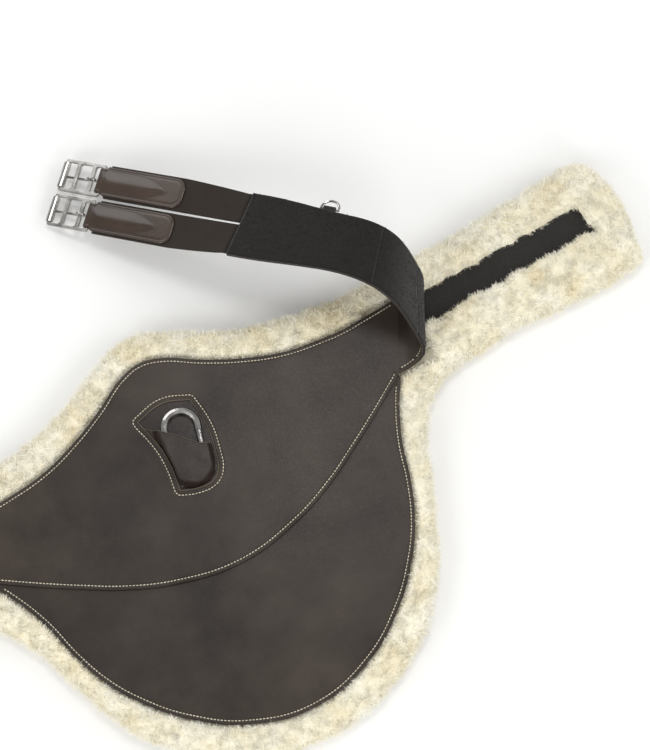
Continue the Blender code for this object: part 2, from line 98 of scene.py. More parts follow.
# Half outlines in millimetres, front middle to rear middle, as in the CAD.
S, C = "AUTO", "VECTOR"
FRONT_EDGE = (
    (0, 87, S), (21, 82, S), (53, 63.5, S), (86, 47.6, S),
    (121.5, 35.3, S), (160, 29.6, S), (180, 28.3, S), (202, 29.5, S),
)
GUARD_REAR = (
    (207, 29, C), (207.5, -37, C), (196, -56, S), (180.5, -90, S), (170, -126, S),
    (156, -160, S), (135.5, -191, S), (106, -222, S), (60, -252, S), (0, -266, S),
)
OVERLAY_REAR = (
    (203, -36.5, C), (169, -58, S), (137, -77, S), (106, -94, S), (60, -112, S), (0, -122, S),
)
SHEEPSKIN_EDGE = (
    (0, 115, S), (32, 106, S), (65, 89, S), (99, 74.5, S), (136, 65.5, S), (174, 60, S),
    (230, 58, S), (300, 61.5, S), (363, 66, S), (427, 71, S), (455, 71, S), (466, 60, S),
    (469, -22, S), (464, -37, S), (448, -42, S), (360, -41.5, S), (284, -43.5, S),
    (252, -48.5, S), (230, -61, S), (214, -76, S), (199, -100, S), (180, -148, S),
    (164, -186, S), (142, -222, S), (107, -257, S), (60, -282, S), (0, -291, S),
)
POCKET_WINDOW = (
    (-25.6, 37.6, C), (2.5, 43, S), (26.2, 34.7, C), (29.2, 7.2, S), (25.6, -18, S),
    (18.8, -37.4, S), (10.5, -43, S), (-5, -42.5, S), (-19.7, -37.2, C), (-17, -15, S),
    (-17.8, 6, S),
)
FLAP_OUTLINE = (
    (-22.5, 29), (-4, 12), (15.2, -7.6), (25, -12), (22, -25), (16.5, -36.5), (9, -41.3),
    (-5, -40.8), (-17.6, -36), (-15.2, -15), (-16, 6),
)
HOOK_CENTRE, HOOK_LEAN = (4.6 * MM, -1.8 * MM), math.radians(-9)
WIRE = 3.5 * MM


# ---------------------------------------------------------------- geometry helpers

def ease(value):
    value = np.clip(value, 0, 1)
    return value * value * (3 - 2 * value)


def mirrored(half):
    return list(half) + [(-x, y, h) for x, y, h in reversed(half) if abs(x) > 0.01]


def outline(points, step):
    """An outline of (x, y, handle) as points in metres, evenly spaced, with its corners kept."""
    curve = bpy.data.curves.new("outline", "CURVE")
    curve.dimensions = "3D"
    curve.resolution_u = 16
    spline = curve.splines.new("BEZIER")
    spline.bezier_points.add(len(points) - 1)
    spline.use_cyclic_u = True
    for point, (x, y, handle) in zip(spline.bezier_points, points):
        point.co = (x * MM, y * MM, 0)
        point.handle_left_type = point.handle_right_type = handle
    bare = bpy.data.objects.new("outline", curve)
    mesh = bpy.data.meshes.new_from_object(bare)
    line = np.array([v.co[:2] for v in mesh.vertices])
    bpy.data.meshes.remove(mesh)
    bpy.data.curves.remove(curve)
    return spaced(line, step, [(x * MM, y * MM) for x, y, handle in points if handle == C])


def spaced(line, step, corners=()):
    closed = np.vstack([line, line[:1]])
    along = np.r_[0, np.cumsum(np.linalg.norm(np.diff(closed, axis=0), axis=1))]
    count = max(8, int(along[-1] / step))
    at = np.arange(count) * along[-1] / count
    made = np.stack([np.interp(at, along, closed[:, k]) for k in range(2)], axis=1)
    for corner in corners:
        made[np.linalg.norm(made - corner, axis=1).argmin()] = corner
    return made


def off_line(points, line, closed=True):
    """The distance of each point from a polyline."""
    a = line if closed else line[:-1]
    b = np.roll(line, -1, axis=0) if closed else line[1:]
    best = np.full(len(points), np.inf)
    d = b - a
    square = np.maximum((d * d).sum(1), 1e-15)
    for i in range(0, len(points), 2000):
        p = points[i:i + 2000, None]
        t = np.clip(((p - a) * d).sum(2) / square, 0, 1)
        best[i:i + 2000] = np.linalg.norm(p - a - t[..., None] * d, axis=2).min(1)
    return best


def inside(points, line):
    x, y = points[:, :1], points[:, 1:]
    a, b = line, np.roll(line, -1, axis=0)
    crosses = (a[:, 1] > y) != (b[:, 1] > y)
    slope = (b[:, 0] - a[:, 0]) / np.where(b[:, 1] == a[:, 1], 1e-12, b[:, 1] - a[:, 1])
    return (crosses & (x < a[:, 0] + (y - a[:, 1]) * slope)).sum(1) % 2 == 1


def inward(line, distance, kept=0.93):
    """Points at a distance inside a closed line that runs either way.

    Where the line turns tightly, points closer to it than the kept share are dropped.
    """
    along = np.roll(line, -1, axis=0) - np.roll(line, 1, axis=0)
    area = (line[:, 0] * np.roll(line[:, 1], -1) - np.roll(line[:, 0], -1) * line[:, 1]).sum()
    side = np.stack([-along[:, 1], along[:, 0]], axis=1) * (1 if area > 0 else -1)
    side /= np.maximum(np.linalg.norm(side, axis=1), 1e-12)[:, None]
    moved = line + side * distance
    return moved[off_line(moved, line) > kept * abs(distance)]


def triangulated(rims, extra):
    """Triangles over closed rims, the first one outer and the others holes, and free points."""
    points, edges = [], []
    for rim in rims:
        start = len(points)
        points += list(rim)
        edges += [(start + i, start + (i + 1) % len(rim)) for i in range(len(rim))]
    extra = np.array(extra).reshape(-1, 2)
    keep = inside(extra, rims[0])
    for hole in rims[1:]:
        keep &= ~inside(extra, hole)
    points += list(extra[keep])
    made = delaunay_2d_cdt([Vector(p) for p in points], edges, [], 0, 1e-7)
    flat = np.array([tuple(v) for v in made[0]])
    faces = np.array([f for f in made[2]])
    middle = flat[faces].mean(1)
    keep = inside(middle, rims[0])
    for hole in rims[1:]:
        keep &= ~inside(middle, hole)
    return flat, faces[keep]


def grid_points(rim, step, jitter=0.25):
    low, high = rim.min(0), rim.max(0)
    x, y = np.meshgrid(np.arange(low[0], high[0], step), np.arange(low[1], high[1], step))
    points = np.stack([x.ravel(), y.ravel()], axis=1)
    return points + RNG.uniform(-jitter, jitter, points.shape) * step


def mesh_piece(name, verts, faces, surface, smooth=True, uvs=None):
    mesh = bpy.data.meshes.new(name)
    mesh.from_pydata([tuple(map(float, v)) for v in verts], [], [tuple(map(int, f)) for f in faces])
    mesh.materials.append(surface)
    mesh.polygons.foreach_set("use_smooth", [smooth] * len(mesh.polygons))
    if uvs is not None:
        layer = mesh.uv_layers.new(name="UVMap")
        corner = np.zeros(len(mesh.loops), np.int32)
        mesh.loops.foreach_get("vertex_index", corner)
        layer.data.foreach_set("uv", np.asarray(uvs, np.float32)[corner].ravel())
    made = bpy.data.objects.new(name, mesh)
    bpy.context.scene.collection.objects.link(made)
    return made


def slab_faces(rows, columns, ends=(True, True)):
    """The faces of a slab: a grid of outer points, then the same grid of inner points."""
    n = rows * columns

    def wall(a, b):
        return a, a + n, b + n, b

    faces = []
    for i in range(rows - 1):
        for j in range(columns - 1):
            a = i * columns + j
            faces += [(a, a + columns, a + columns + 1, a + 1),
                      (a + n, a + n + 1, a + n + columns + 1, a + n + columns)]
        left, right = i * columns, (i + 1) * columns - 1
        faces += [wall(left, left + columns), wall(right + columns, right)]
    for j in range(columns - 1):
        if ends[0]:
            faces.append(wall(j + 1, j))
        if ends[1]:
            last = (rows - 1) * columns + j
            faces.append(wall(last, last + 1))
    return faces


def rim_loops(faces):
    """The open edges of a triangle list, as directed pairs."""
    edges = np.concatenate([faces[:, [0, 1]], faces[:, [1, 2]], faces[:, [2, 0]]])
    known = {tuple(e) for e in edges}
    return [(a, b) for a, b in known if (b, a) not in known]


def noise_at(flat, scale):
    return np.array([noise.noise(Vector((*(p * scale), 0))) for p in flat])


def wave(flat):
    """How far the leather lies off flat at each point."""
    broad = np.array([noise.noise(Vector((x * 7.5, y * 7.5, 3.1))) for x, y in flat])
    fine = np.array([noise.noise(Vector((x * 24, y * 24, 8.3))) for x, y in flat])
    pocket = np.linalg.norm((flat - (2 * MM, 0)) / (48 * MM, 62 * MM), axis=1)
    return 0.9 * MM * broad + 0.22 * MM * fine + 0.7 * MM * np.exp(-(pocket**2) * 2.2)


def profile(distance, steps):
    """A height from the distance to an edge, both in millimetres in steps."""
    d, h = zip(*steps)
    return np.interp(distance / MM, d, h) * MM


SEWN_EDGE = (
    (0, -1.1), (0.25, -0.45), (0.8, -0.08), (1.6, 0), (2.6, -0.05), (3.1, -0.22), (3.5, -0.5),
    (3.9, -0.22), (4.5, -0.05), (6, 0),
)
WINDOW_EDGE = (
    (0, -0.9), (0.3, -0.2), (0.9, 0.25), (1.8, 0.3), (3.4, 0.1), (4.1, -0.3), (4.5, -0.55),
    (4.9, -0.3), (5.6, 0.1), (8, 0),
)
RING_STEPS = (0.25, 0.8, 1.6, 2.6, 3.1, 3.5, 3.9, 4.5, 6)


def panel(name, rim, low, high, surface, step, holes=(), edge=SEWN_EDGE, hole_edge=WINDOW_EDGE,
          lift=wave, plain=()):
    """A piece cut from sheet: a fine top with worked edges, walls, and an underside."""
    extra = [grid_points(rim, step)]
    extra += [inward(rim, d * MM) for d in RING_STEPS]
    for hole in holes:
        extra += [inward(hole, -d * MM) for d in RING_STEPS + (5.2, 7)]
    near = np.vstack(extra)
    flat, faces = triangulated([rim, *holes], near)
    distance = off_line(flat, rim)
    if len(plain):
        seam = np.min([off_line(flat, np.array(line), False) for line in plain], axis=0)
        distance = np.where(seam < distance + 1e-6, 6 * MM, distance)
    top = high + profile(distance, edge)
    for hole in holes:
        top += profile(off_line(flat, hole), hole_edge)
    raised = lift(flat)
    count = len(flat)
    verts = np.vstack([np.c_[flat, top + raised], np.c_[flat, np.full(count, low) + raised]])
    solid = list(faces) + [f[::-1] + count for f in faces]
    open_end = np.zeros(count, bool)
    for line in plain:
        open_end |= off_line(flat, np.array(line), False) < 0.3 * MM
    for a, b in rim_loops(faces):
        if not (open_end[a] and open_end[b]):
            solid += [(b, a, a + count, b + count)]
    return mesh_piece(name, verts, solid, surface)


def tube(name, line, radius, surface, closed=True, sides=8):
    """A round bead along points in space."""
    line = np.array(line)
    count = len(line)
    ahead = np.roll(line, -1, axis=0) - np.roll(line, 1, axis=0)
    if not closed:
        ahead[0], ahead[-1] = line[1] - line[0], line[-1] - line[-2]
    ahead /= np.linalg.norm(ahead, axis=1)[:, None]
    side = np.cross(ahead, (0, 0, 1))
    side /= np.linalg.norm(side, axis=1)[:, None]
    up = np.cross(side, ahead)
    turns = np.arange(sides) * math.tau / sides
    ring = side[:, None] * np.cos(turns)[:, None] + up[:, None] * np.sin(turns)[:, None]
    verts = (line[:, None] + ring * radius).reshape(-1, 3)
    faces = []
    for i in range(count if closed else count - 1):
        j = (i + 1) % count
        faces += [(i * sides + k, i * sides + (k + 1) % sides, j * sides + (k + 1) % sides,
                   j * sides + k) for k in range(sides)]
    return mesh_piece(name, verts, faces, surface)


PITCH, STITCH, THREAD = 3.1 * MM, 2.4 * MM, 0.46 * MM


def stitched(place, length, pitch=PITCH):
    """Centres, directions and normals of stitches; place(s) gives a point and a normal."""
    rows = []
    for i in range(int(length / pitch)):
        s = (i + 0.5) * pitch
        back, up = place(s - STITCH / 2)
        ahead, _ = place(s + STITCH / 2)
        rows.append((np.array(back), np.array(ahead), np.array(up)))
    return rows


def stitches(name, rows, surface, thick=THREAD):
    """Rounded thread stitches that dip into the leather at both ends."""
    verts, faces = [], []
    stations = ((0.0, 0.35, -0.9), (0.12, 0.8, -0.1), (0.3, 1, 0.45), (0.5, 1.05, 0.55),
                (0.7, 1, 0.45), (0.88, 0.8, -0.1), (1.0, 0.35, -0.9))
    turns = [math.tau * k / 6 for k in range(6)]
    for back, ahead, up in rows:
        along = ahead - back
        side = np.cross(along, up)
        side /= max(np.linalg.norm(side), 1e-12)
        start = len(verts)
        twist = RNG.uniform(-0.10, 0.10)
        for share, width, rise in stations:
            middle = back + along * share + up * rise * thick
            middle = middle + side * twist * STITCH * (share - 0.5)
            verts += [middle + (side * math.cos(t) + up * math.sin(t)) * thick * width
                      for t in turns]
        for i in range(len(stations) - 1):
            a, b = start + i * 6, start + (i + 1) * 6
            faces += [(a + k, a + (k + 1) % 6, b + (k + 1) % 6, b + k) for k in range(6)]
        faces.append([start + k for k in range(5, -1, -1)])
        last = start + (len(stations) - 1) * 6
        faces.append([last + k for k in range(6)])
    return mesh_piece(name, verts, faces, surface)


def along_line(line, height, closed=False):
    """place(s) for stitched(): runs along flat points, at height(points)."""
    if closed:
        line = np.vstack([line, line[:1]])
    along = np.r_[0, np.cumsum(np.linalg.norm(np.diff(line, axis=0), axis=1))]
    z = height(line)

    def place(s):
        return (np.interp(s, along, line[:, 0]), np.interp(s, along, line[:, 1]),
                np.interp(s, along, z)), (0, 0, 1)
    return place, along[-1]


# ---------------------------------------------------------------- materials

def surface(name, colour, roughness, **inputs):
    """A new material with its node tree and shader."""
    made = bpy.data.materials.new(name)
    made.use_nodes = True
    shader = made.node_tree.nodes["Principled BSDF"]
    shader.inputs["Base Color"].default_value = (*colour, 1)
    shader.inputs["Roughness"].default_value = roughness
    for label, value in inputs.items():
        shader.inputs[label.replace("_", " ")].default_value = value
    made.diffuse_color = (*colour, 1)
    return made, made.node_tree, shader


def add(tree, kind, **settings):
    made = tree.nodes.new("ShaderNode" + kind)
    for label, value in settings.items():
        if label in made.inputs:
            made.inputs[label].default_value = value
        else:
            setattr(made, label, value)
    return made


def texture(tree, kind, coords, stretch=(1, 1, 1), **settings):
    mapping = add(tree, "Mapping")
    mapping.inputs["Scale"].default_value = stretch
    tree.links.new(coords, mapping.inputs["Vector"])
    made = add(tree, "Tex" + kind, **settings)
    tree.links.new(mapping.outputs["Vector"], made.inputs["Vector"])
    return made


def ramp(tree, value, stops):
    made = add(tree, "ValToRGB")
    elements = made.color_ramp.elements
    while len(elements) < len(stops):
        elements.new(0.5)
    for element, (at, colour) in zip(elements, stops):
        element.position = at
        element.color = (*colour, 1)
    tree.links.new(value, made.inputs["Fac"])
    return made.outputs["Color"]


def spread(tree, value, low, high, from_low=0.3, from_high=0.7):
    made = add(tree, "MapRange")
    for label, number in (("From Min", from_low), ("From Max", from_high),
                          ("To Min", low), ("To Max", high)):
        made.inputs[label].default_value = number
    tree.links.new(value, made.inputs["Value"])
    return made.outputs["Result"]


def bump(tree, shader, layers):
    """Bumps one over the other: (height, strength, distance in metres)."""
    last = None
    for height, strength, distance in layers:
        made = add(tree, "Bump")
        made.inputs["Strength"].default_value = strength
        made.inputs["Distance"].default_value = distance
        tree.links.new(height, made.inputs["Height"])
        if last:
            tree.links.new(last.outputs["Normal"], made.inputs["Normal"])
        last = made
    tree.links.new(last.outputs["Normal"], shader.inputs["Normal"])


def coordinates(tree, kind):
    return add(tree, "TexCoord").outputs[kind]


def leather(name, dark, light, rough, kind="Object", relief=1.0, gleam=0.3):
    made, tree, shader = surface(name, dark, rough, Specular_IOR_Level=gleam)
    coords = coordinates(tree, kind)
    # Broad mottled tone between dark and light: partly the leather's own colour variation and
    # partly painted soft, broad highlights.
    cloud = texture(tree, "Noise", coords, Scale=14.0, Detail=5.0, Roughness=0.6)
    mottle_and_painted_highlight = ramp(tree, cloud.outputs["Fac"], ((0.32, dark), (0.52, tuple(
        (a + b) / 2 for a, b in zip(dark, light))), (0.72, light)))
    pores = texture(tree, "Voronoi", coords, Scale=1150.0)
    grain = texture(tree, "Noise", coords, Scale=620.0, Detail=6.0, Roughness=0.65)
    creases = texture(tree, "Noise", coords, (1, 0.55, 1), Scale=210.0, Detail=4.0)
    speck = add(tree, "Mix", data_type="RGBA", blend_type="MULTIPLY")
    speck.inputs["Factor"].default_value = 0.5
    tree.links.new(mottle_and_painted_highlight, speck.inputs[6])
    tree.links.new(ramp(tree, grain.outputs["Fac"], ((0.3, (0.72, 0.7, 0.68)), (0.62, (1, 1, 1)))),
                   speck.inputs[7])
    tree.links.new(speck.outputs[2], shader.inputs["Base Color"])
    tree.links.new(spread(tree, grain.outputs["Fac"], rough - 0.06, rough + 0.1),
                   shader.inputs["Roughness"])
    bump(tree, shader, ((pores.outputs["Distance"], 0.25 * relief, 0.16 * MM),
                        (grain.outputs["Fac"], 0.3 * relief, 0.14 * MM),
                        (creases.outputs["Fac"], 0.22 * relief, 0.3 * MM)))
    return made


def wool_surface(name, stops):
    made, tree, shader = surface(name, stops[1][1], 0.88, Specular_IOR_Level=0.25,
                                 Sheen_Weight=0.35, Sheen_Roughness=0.6,
                                 Subsurface_Weight=0.0)
    coords = coordinates(tree, "Object")
    cloud = texture(tree, "Noise", coords, Scale=26.0, Detail=6.0, Roughness=0.62)
    locks = texture(tree, "Noise", coords, Scale=160.0, Detail=5.0, Roughness=0.7)
    blend = add(tree, "Math", operation="MULTIPLY_ADD")
    blend.inputs[1].default_value = 0.22
    tree.links.new(locks.outputs["Fac"], blend.inputs[0])
    tree.links.new(spread(tree, cloud.outputs["Fac"], 0, 0.58, 0.25, 0.75), blend.inputs[2])
    tree.links.new(ramp(tree, blend.outputs["Value"], stops), shader.inputs["Base Color"])
    tree.links.new(spread(tree, locks.outputs["Fac"], 0.8, 0.96), shader.inputs["Roughness"])
    fibres = texture(tree, "Noise", coords, Scale=900.0, Detail=4.0)
    bump(tree, shader, ((locks.outputs["Fac"], 0.5, 1.2 * MM),
                        (fibres.outputs["Fac"], 0.4, 0.4 * MM)))
    return made


def cloth(name, dark, light, scale, stretch, rough, kind="UV", depth=0.35, sheen=0.2):
    made, tree, shader = surface(name, dark, rough, Specular_IOR_Level=0.25, Sheen_Weight=sheen,
                                 Sheen_Roughness=0.5)
    coords = coordinates(tree, kind)
    ribs = texture(tree, "Wave", coords, stretch, wave_type="BANDS", bands_direction="X",
                   Scale=scale, Distortion=1.2, Detail=2.0)
    ribs.inputs["Detail Scale"].default_value = 3.0
    fuzz = texture(tree, "Noise", coords, Scale=1500.0, Detail=5.0, Roughness=0.7)
    cloud = texture(tree, "Noise", coords, Scale=60.0, Detail=3.0)
    mixed = add(tree, "Math", operation="MULTIPLY_ADD")
    mixed.inputs[1].default_value = 0.5
    tree.links.new(ribs.outputs["Fac"], mixed.inputs[0])
    tree.links.new(spread(tree, fuzz.outputs["Fac"], 0, 0.5), mixed.inputs[2])
    tree.links.new(ramp(tree, mixed.outputs["Value"], ((0.15, dark), (0.85, light))),
                   shader.inputs["Base Color"])
    tree.links.new(spread(tree, cloud.outputs["Fac"], rough - 0.08, min(rough + 0.06, 1)),
                   shader.inputs["Roughness"])
    bump(tree, shader, ((ribs.outputs["Fac"], 0.5, depth * MM),
                        (fuzz.outputs["Fac"], 0.5, 0.2 * MM)))
    return made


def steel(name):
    made, tree, shader = surface(name, (0.42, 0.41, 0.395), 0.2, Metallic=1.0, Anisotropic=0.2)
    coords = coordinates(tree, "Object")
    smudge = texture(tree, "Noise", coords, Scale=90.0, Detail=4.0)
    scratch = texture(tree, "Noise", coords, (1, 14, 1), Scale=420.0, Detail=3.0)
    tree.links.new(spread(tree, smudge.outputs["Fac"], 0.14, 0.28), shader.inputs["Roughness"])
    tree.links.new(ramp(tree, smudge.outputs["Fac"], ((0.3, (0.34, 0.33, 0.315)),
                                                    (0.7, (0.52, 0.51, 0.49)))),
                   shader.inputs["Base Color"])
    bump(tree, shader, ((scratch.outputs["Fac"], 0.12, 0.03 * MM),))
    return made


def thread(name, dark, light):
    made, tree, shader = surface(name, light, 0.6, Sheen_Weight=0.3, Specular_IOR_Level=0.4)
    coords = coordinates(tree, "Object")
    ply = texture(tree, "Wave", coords, (1, 1, 1), bands_direction="DIAGONAL", Scale=700.0,
                  Distortion=0.5)
    wear = texture(tree, "Noise", coords, Scale=240.0, Detail=3.0)
    tree.links.new(ramp(tree, wear.outputs["Fac"], ((0.35, dark), (0.6, light))),
                   shader.inputs["Base Color"])
    bump(tree, shader, ((ply.outputs["Fac"], 0.6, 0.12 * MM),))
    return made


BROWN = ((0.019, 0.013, 0.0095), (0.052, 0.0395, 0.0305))
LEATHER = leather("leather", *BROWN, 0.4)
STRAP_LOOK = leather("strap_leather", *BROWN, 0.4, "UV")
# The pocket floor and flap take a darker leather than the body: painted shade of the pocket's
# recess.
POCKET_SHADED_LOOK = leather("pocket_leather_painted_shade", (0.016, 0.0095, 0.007), (0.034, 0.022, 0.017), 0.34, gleam=0.3)
# A lighter colour for the window's folded rim and the slit's edge: painted highlight where these
# rolled edges catch the light, and on the slit also the paler cut edge.
RIM_HIGHLIGHT_LOOK = leather("cut_edge_and_painted_highlight", (0.075, 0.06, 0.042), (0.15, 0.125, 0.09), 0.6)
CHAPE_LOOK = leather("chape_leather", (0.034, 0.021, 0.014), (0.07, 0.047, 0.034), 0.2, relief=0.4,
                     gleam=0.5)
LINING_LOOK = cloth("lining_felt", (0.02, 0.018, 0.016), (0.05, 0.045, 0.04), 300, (1, 1, 1), 0.9,
                    "Object")
LOOP_LOOK = cloth("loop_cloth", (0.0035, 0.003, 0.0026), (0.017, 0.0145, 0.012), 420, (1, 1, 1),
                  0.95)
HOOK_LOOK = cloth("hook_tape", (0.006, 0.0055, 0.005), (0.028, 0.025, 0.022), 150, (1, 1, 1), 0.7,
                  "Object", 0.6)
ELASTIC_LOOK = cloth("elastic_web", (0.015, 0.0105, 0.0075), (0.034, 0.025, 0.0185), 420,
                     (0.8, 1, 1), 0.8, depth=0.2, sheen=0.1)
# The wool body takes darker, yellower colours than the fibre tips: painted shade in the depths of
# the pile, under and between the locks.
WOOL_SHADED_BODY_LOOK = wool_surface("wool", ((0.12, (0.88, 0.78, 0.55)), (0.36, (0.93, 0.87, 0.69)),
                                  (0.62, (0.96, 0.93, 0.81))))
WOOL_TIPS = wool_surface("wool_tips", ((0.12, (0.92, 0.85, 0.65)), (0.36, (0.955, 0.92, 0.79)),
                                       (0.62, (0.98, 0.96, 0.88))))
STEEL = steel("polished_steel")
THREAD_LOOK = thread("beige_thread", (0.50, 0.43, 0.31), (0.78, 0.71, 0.56))
DARK_THREAD = thread("brown_thread", (0.012, 0.008, 0.006), (0.03, 0.021, 0.016))
NAP_LOOK = cloth("loop_nap", (0.006, 0.005, 0.0042), (0.02, 0.017, 0.0145), 300, (1, 1, 1), 0.92,
                 "Object", 0.1)


def dress(node, look):
    data = frame["nodes"][node].data
    data.materials.clear()
    data.materials.append(look)
    data.polygons.foreach_set("material_index", [0] * len(data.polygons))


def soften(obj, width):
    """Round a metal part's edges and shade it smoothly, leaving its mesh as it is."""
    rounded = obj.modifiers.new("edges", "BEVEL")
    rounded.width = width
    rounded.segments = 2
    rounded.limit_method = "ANGLE"
    rounded.angle_limit = math.radians(35)
    obj.data.polygons.foreach_set("use_smooth", [True] * len(obj.data.polygons))
    obj.modifiers.new("normals", "WEIGHTED_NORMAL").keep_sharp = True


# ---------------------------------------------------------------- leather body and pocket

def make_body():
    guard_rim = outline(mirrored(FRONT_EDGE + GUARD_REAR), 2.4 * MM)
    guard = panel("guard_leather", guard_rim, GUARD_LOW, GUARD_HIGH, LEATHER, 4.5 * MM)
    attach(guard, "girth")
    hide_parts("belly_guard_panel")

    inset = [(x * 0.975, y * 0.965 - 1.5, h) for x, y, h in FRONT_EDGE + GUARD_REAR]
    felt = panel("guard_felt", outline(mirrored(inset), 3 * MM), LINING_LOW, LINING_HIGH,
                 LINING_LOOK, 14 * MM, edge=((0, -0.9), (0.8, -0.1), (2, 0)),
                 lift=lambda f: wave(f) * 0.5)
    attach(felt, "girth")
    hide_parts("guard_lining")

    lean = 1 / math.tan(CREASE_START)
    at = NECK_X / MM - 0.1
    right = [(at + 32.5 * lean, 32.5, C), (at - 32.5 * lean, -32.5, C)]
    left = [(-at, -32.5, C), (-at, 32.5, C)]
    front, rear = list(FRONT_EDGE), list(OVERLAY_REAR)
    shape = front + right + rear
    shape += [(-x, y, h) for x, y, h in reversed(rear[:-1])] + left
    shape += [(-x, y, h) for x, y, h in reversed(front[1:])]
    rim = outline(shape, 2.4 * MM)
    window = outline(POCKET_WINDOW, 1.6 * MM)
    seams = [[np.array(p[:2]) * MM for p in side] for side in (right, left)]
    overlay = panel("overlay_leather", rim, OVERLAY_LOW, OVERLAY_HIGH, LEATHER, 4 * MM, [window],
                    plain=seams, lift=lambda f: wave(f) * calm(f))
    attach(overlay, "girth")
    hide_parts("girth_overlay")
    sew_body(guard_rim, rim, window, seams)
    return window


def calm(flat):
    """1 over the body and 0 at the necks, where the straps begin."""
    return 1 - ease((np.abs(flat[:, 0]) - 150 * MM) / (50 * MM))


def sew_body(guard_rim, rim, window, seams):
    def over(line):
        return OVERLAY_HIGH - 0.30 * MM + wave(line) * calm(line)

    def under(line):
        return GUARD_HIGH - 0.30 * MM + wave(line)

    rows = []
    inset = ordered_inset(rim, 3.5 * MM)
    near_seam = np.min([off_line(inset, np.array(s), False) for s in seams], axis=0) < 4 * MM
    for run in runs(inset, ~near_seam):
        place, length = along_line(run, over)
        rows += stitched(place, length)
    place, length = along_line(ordered_inset(window, -4.5 * MM), over, True)
    rows += stitched(place, length)
    sewn = stitches("overlay_stitches", rows, THREAD_LOOK)
    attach(sewn, "girth")

    inset = ordered_inset(guard_rim, 3.5 * MM)
    covered = inside(inset, rim) | (off_line(inset, rim) < 3 * MM)
    rows = []
    for run in runs(inset, ~covered):
        place, length = along_line(run, under)
        rows += stitched(place, length)
    sewn = stitches("guard_stitches", rows, THREAD_LOOK)
    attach(sewn, "girth")


def ordered_inset(line, distance):
    """A closed line moved inward, kept in order and cleaned where it folds at corners."""
    return inward(spaced(line, 1 * MM), distance, 0.985)


def runs(line, keep):
    """The stretches of a closed line where keep is true."""
    if keep.all():
        return [line]
    start = int(np.argmin(keep))
    line, keep = np.roll(line, -start, axis=0), np.roll(keep, -start)
    found, current = [], []
    for point, wanted in zip(line, keep):
        if wanted:
            current.append(point)
        elif len(current) > 3:
            found.append(np.array(current))
            current = []
        else:
            current = []
    if len(current) > 3:
        found.append(np.array(current))
    return found


def arc(centre, radius, start, end, steps):
    turns = [math.radians(start + (end - start) * i / steps) for i in range(steps + 1)]
    return [(centre[0] + radius * math.cos(t), centre[1] + radius * math.sin(t)) for t in turns]


def hook_points():
    """Points of the snap hook's wire in plan, and how many of them are on its two bows."""
    top_r, bottom_r, top, bottom = 15.5 * MM, 11.5 * MM, 16.2 * MM, -20.4 * MM
    taper = math.degrees(math.asin((top_r - bottom_r) / (top - bottom)))
    points = arc((0, top), top_r, -taper, 180 + taper, 40)
    points += arc((0, bottom), bottom_r, 180 + taper, 360 - taper, 32)
    on_bows = len(points)
    for i in range(60):
        a = bottom + (top - bottom) * i / 59
        x = (bottom_r + (top_r - bottom_r) * i / 59) * 1.004
        points += [(x, a), (-x, a)]
    turn = np.array([[math.cos(HOOK_LEAN), -math.sin(HOOK_LEAN)],
                     [math.sin(HOOK_LEAN), math.cos(HOOK_LEAN)]])
    return np.array(points) @ turn.T + HOOK_CENTRE, on_bows


def make_pocket(window):
    line = np.c_[window, OVERLAY_HIGH - 0.25 * MM + wave(window)]
    # The rim bead's lighter colour is a painted highlight along the folded window edge.
    rim = tube("window_rim", line, 0.62 * MM, RIM_HIGHLIGHT_LOOK)
    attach(rim, "girth")

    lip = outline([(x * 1.06, y * 1.05, h) for x, y, h in POCKET_WINDOW], 1.8 * MM)
    # The floor's darker leather is painted shade of the recess behind the window.
    backing = panel("pocket_floor", lip, OVERLAY_LOW + 0.1 * MM, BACKING_HIGH, POCKET_SHADED_LOOK, 2.5 * MM,
                    edge=((0, 0), (6, 0)), lift=lambda f: np.minimum(wave(f), 0.9 * MM) - 0.1 * MM)
    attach(backing, "girth")
    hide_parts("pocket_backing")

    wire, on_bows = hook_points()
    hull = wire[:on_bows]
    low, rise = BACKING_HIGH + 0.3 * MM, 2 * WIRE + 0.9 * MM

    def moulded(flat):
        near = np.linalg.norm(flat[:, None] - wire, axis=2).min(1)
        deep = np.where(inside(flat, hull), -near, near)
        form = 1 - ease((deep - 4.8 * MM) / (6 * MM))
        folds = noise_at(flat, 85) * 0.12 * MM
        return rise * form + folds * np.clip(form, 0, 1)

    plan = spaced(np.array(FLAP_OUTLINE) * MM, 1.1 * MM, np.array(FLAP_OUTLINE) * MM)
    flap = panel("moulded_flap", plan, low, low + 1.6 * MM, POCKET_SHADED_LOOK, 1.1 * MM,
                 edge=((0, -0.55), (0.3, -0.15), (0.9, 0), (3, 0)), lift=moulded)
    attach(flap, "girth")
    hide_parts("pocket_flap", "hook_keeper")
    slit = spaced_open(np.array(FLAP_OUTLINE[:4]) * MM, 0.8 * MM)
    height = low + 1.45 * MM + moulded(slit)
    edge = tube("slit_edge", np.c_[slit, height], 0.32 * MM, RIM_HIGHLIGHT_LOOK, closed=False)
    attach(edge, "girth")
    for node in ("snap_hook_body", "snap_hook_gate", "snap_hook_gate_pin"):
        dress(node, STEEL)
        soften(frame["nodes"][node], 0.2 * MM)


def spaced_open(line, step):
    along = np.r_[0, np.cumsum(np.linalg.norm(np.diff(line, axis=0), axis=1))]
    at = np.linspace(0, along[-1], max(2, int(along[-1] / step)))
    return np.stack([np.interp(at, along, line[:, k]) for k in range(2)], axis=1)


# ---------------------------------------------------------------- wool

# The seam where the wool border is mitred at the right end's rear corner.
MITRE = np.array([(447, -6), (451, -15), (456, -23), (463, -31)]) * MM
MITRE_DEPTH, MITRE_REACH = 3.2 * MM, 2.2 * MM

# Heights: the fleece's widest line, the pile flattened under the leather, and the full pile.
FLEECE_MIDDLE, FLATTENED, FULL_PILE = 10.5 * MM, 19.5 * MM, 26.5 * MM


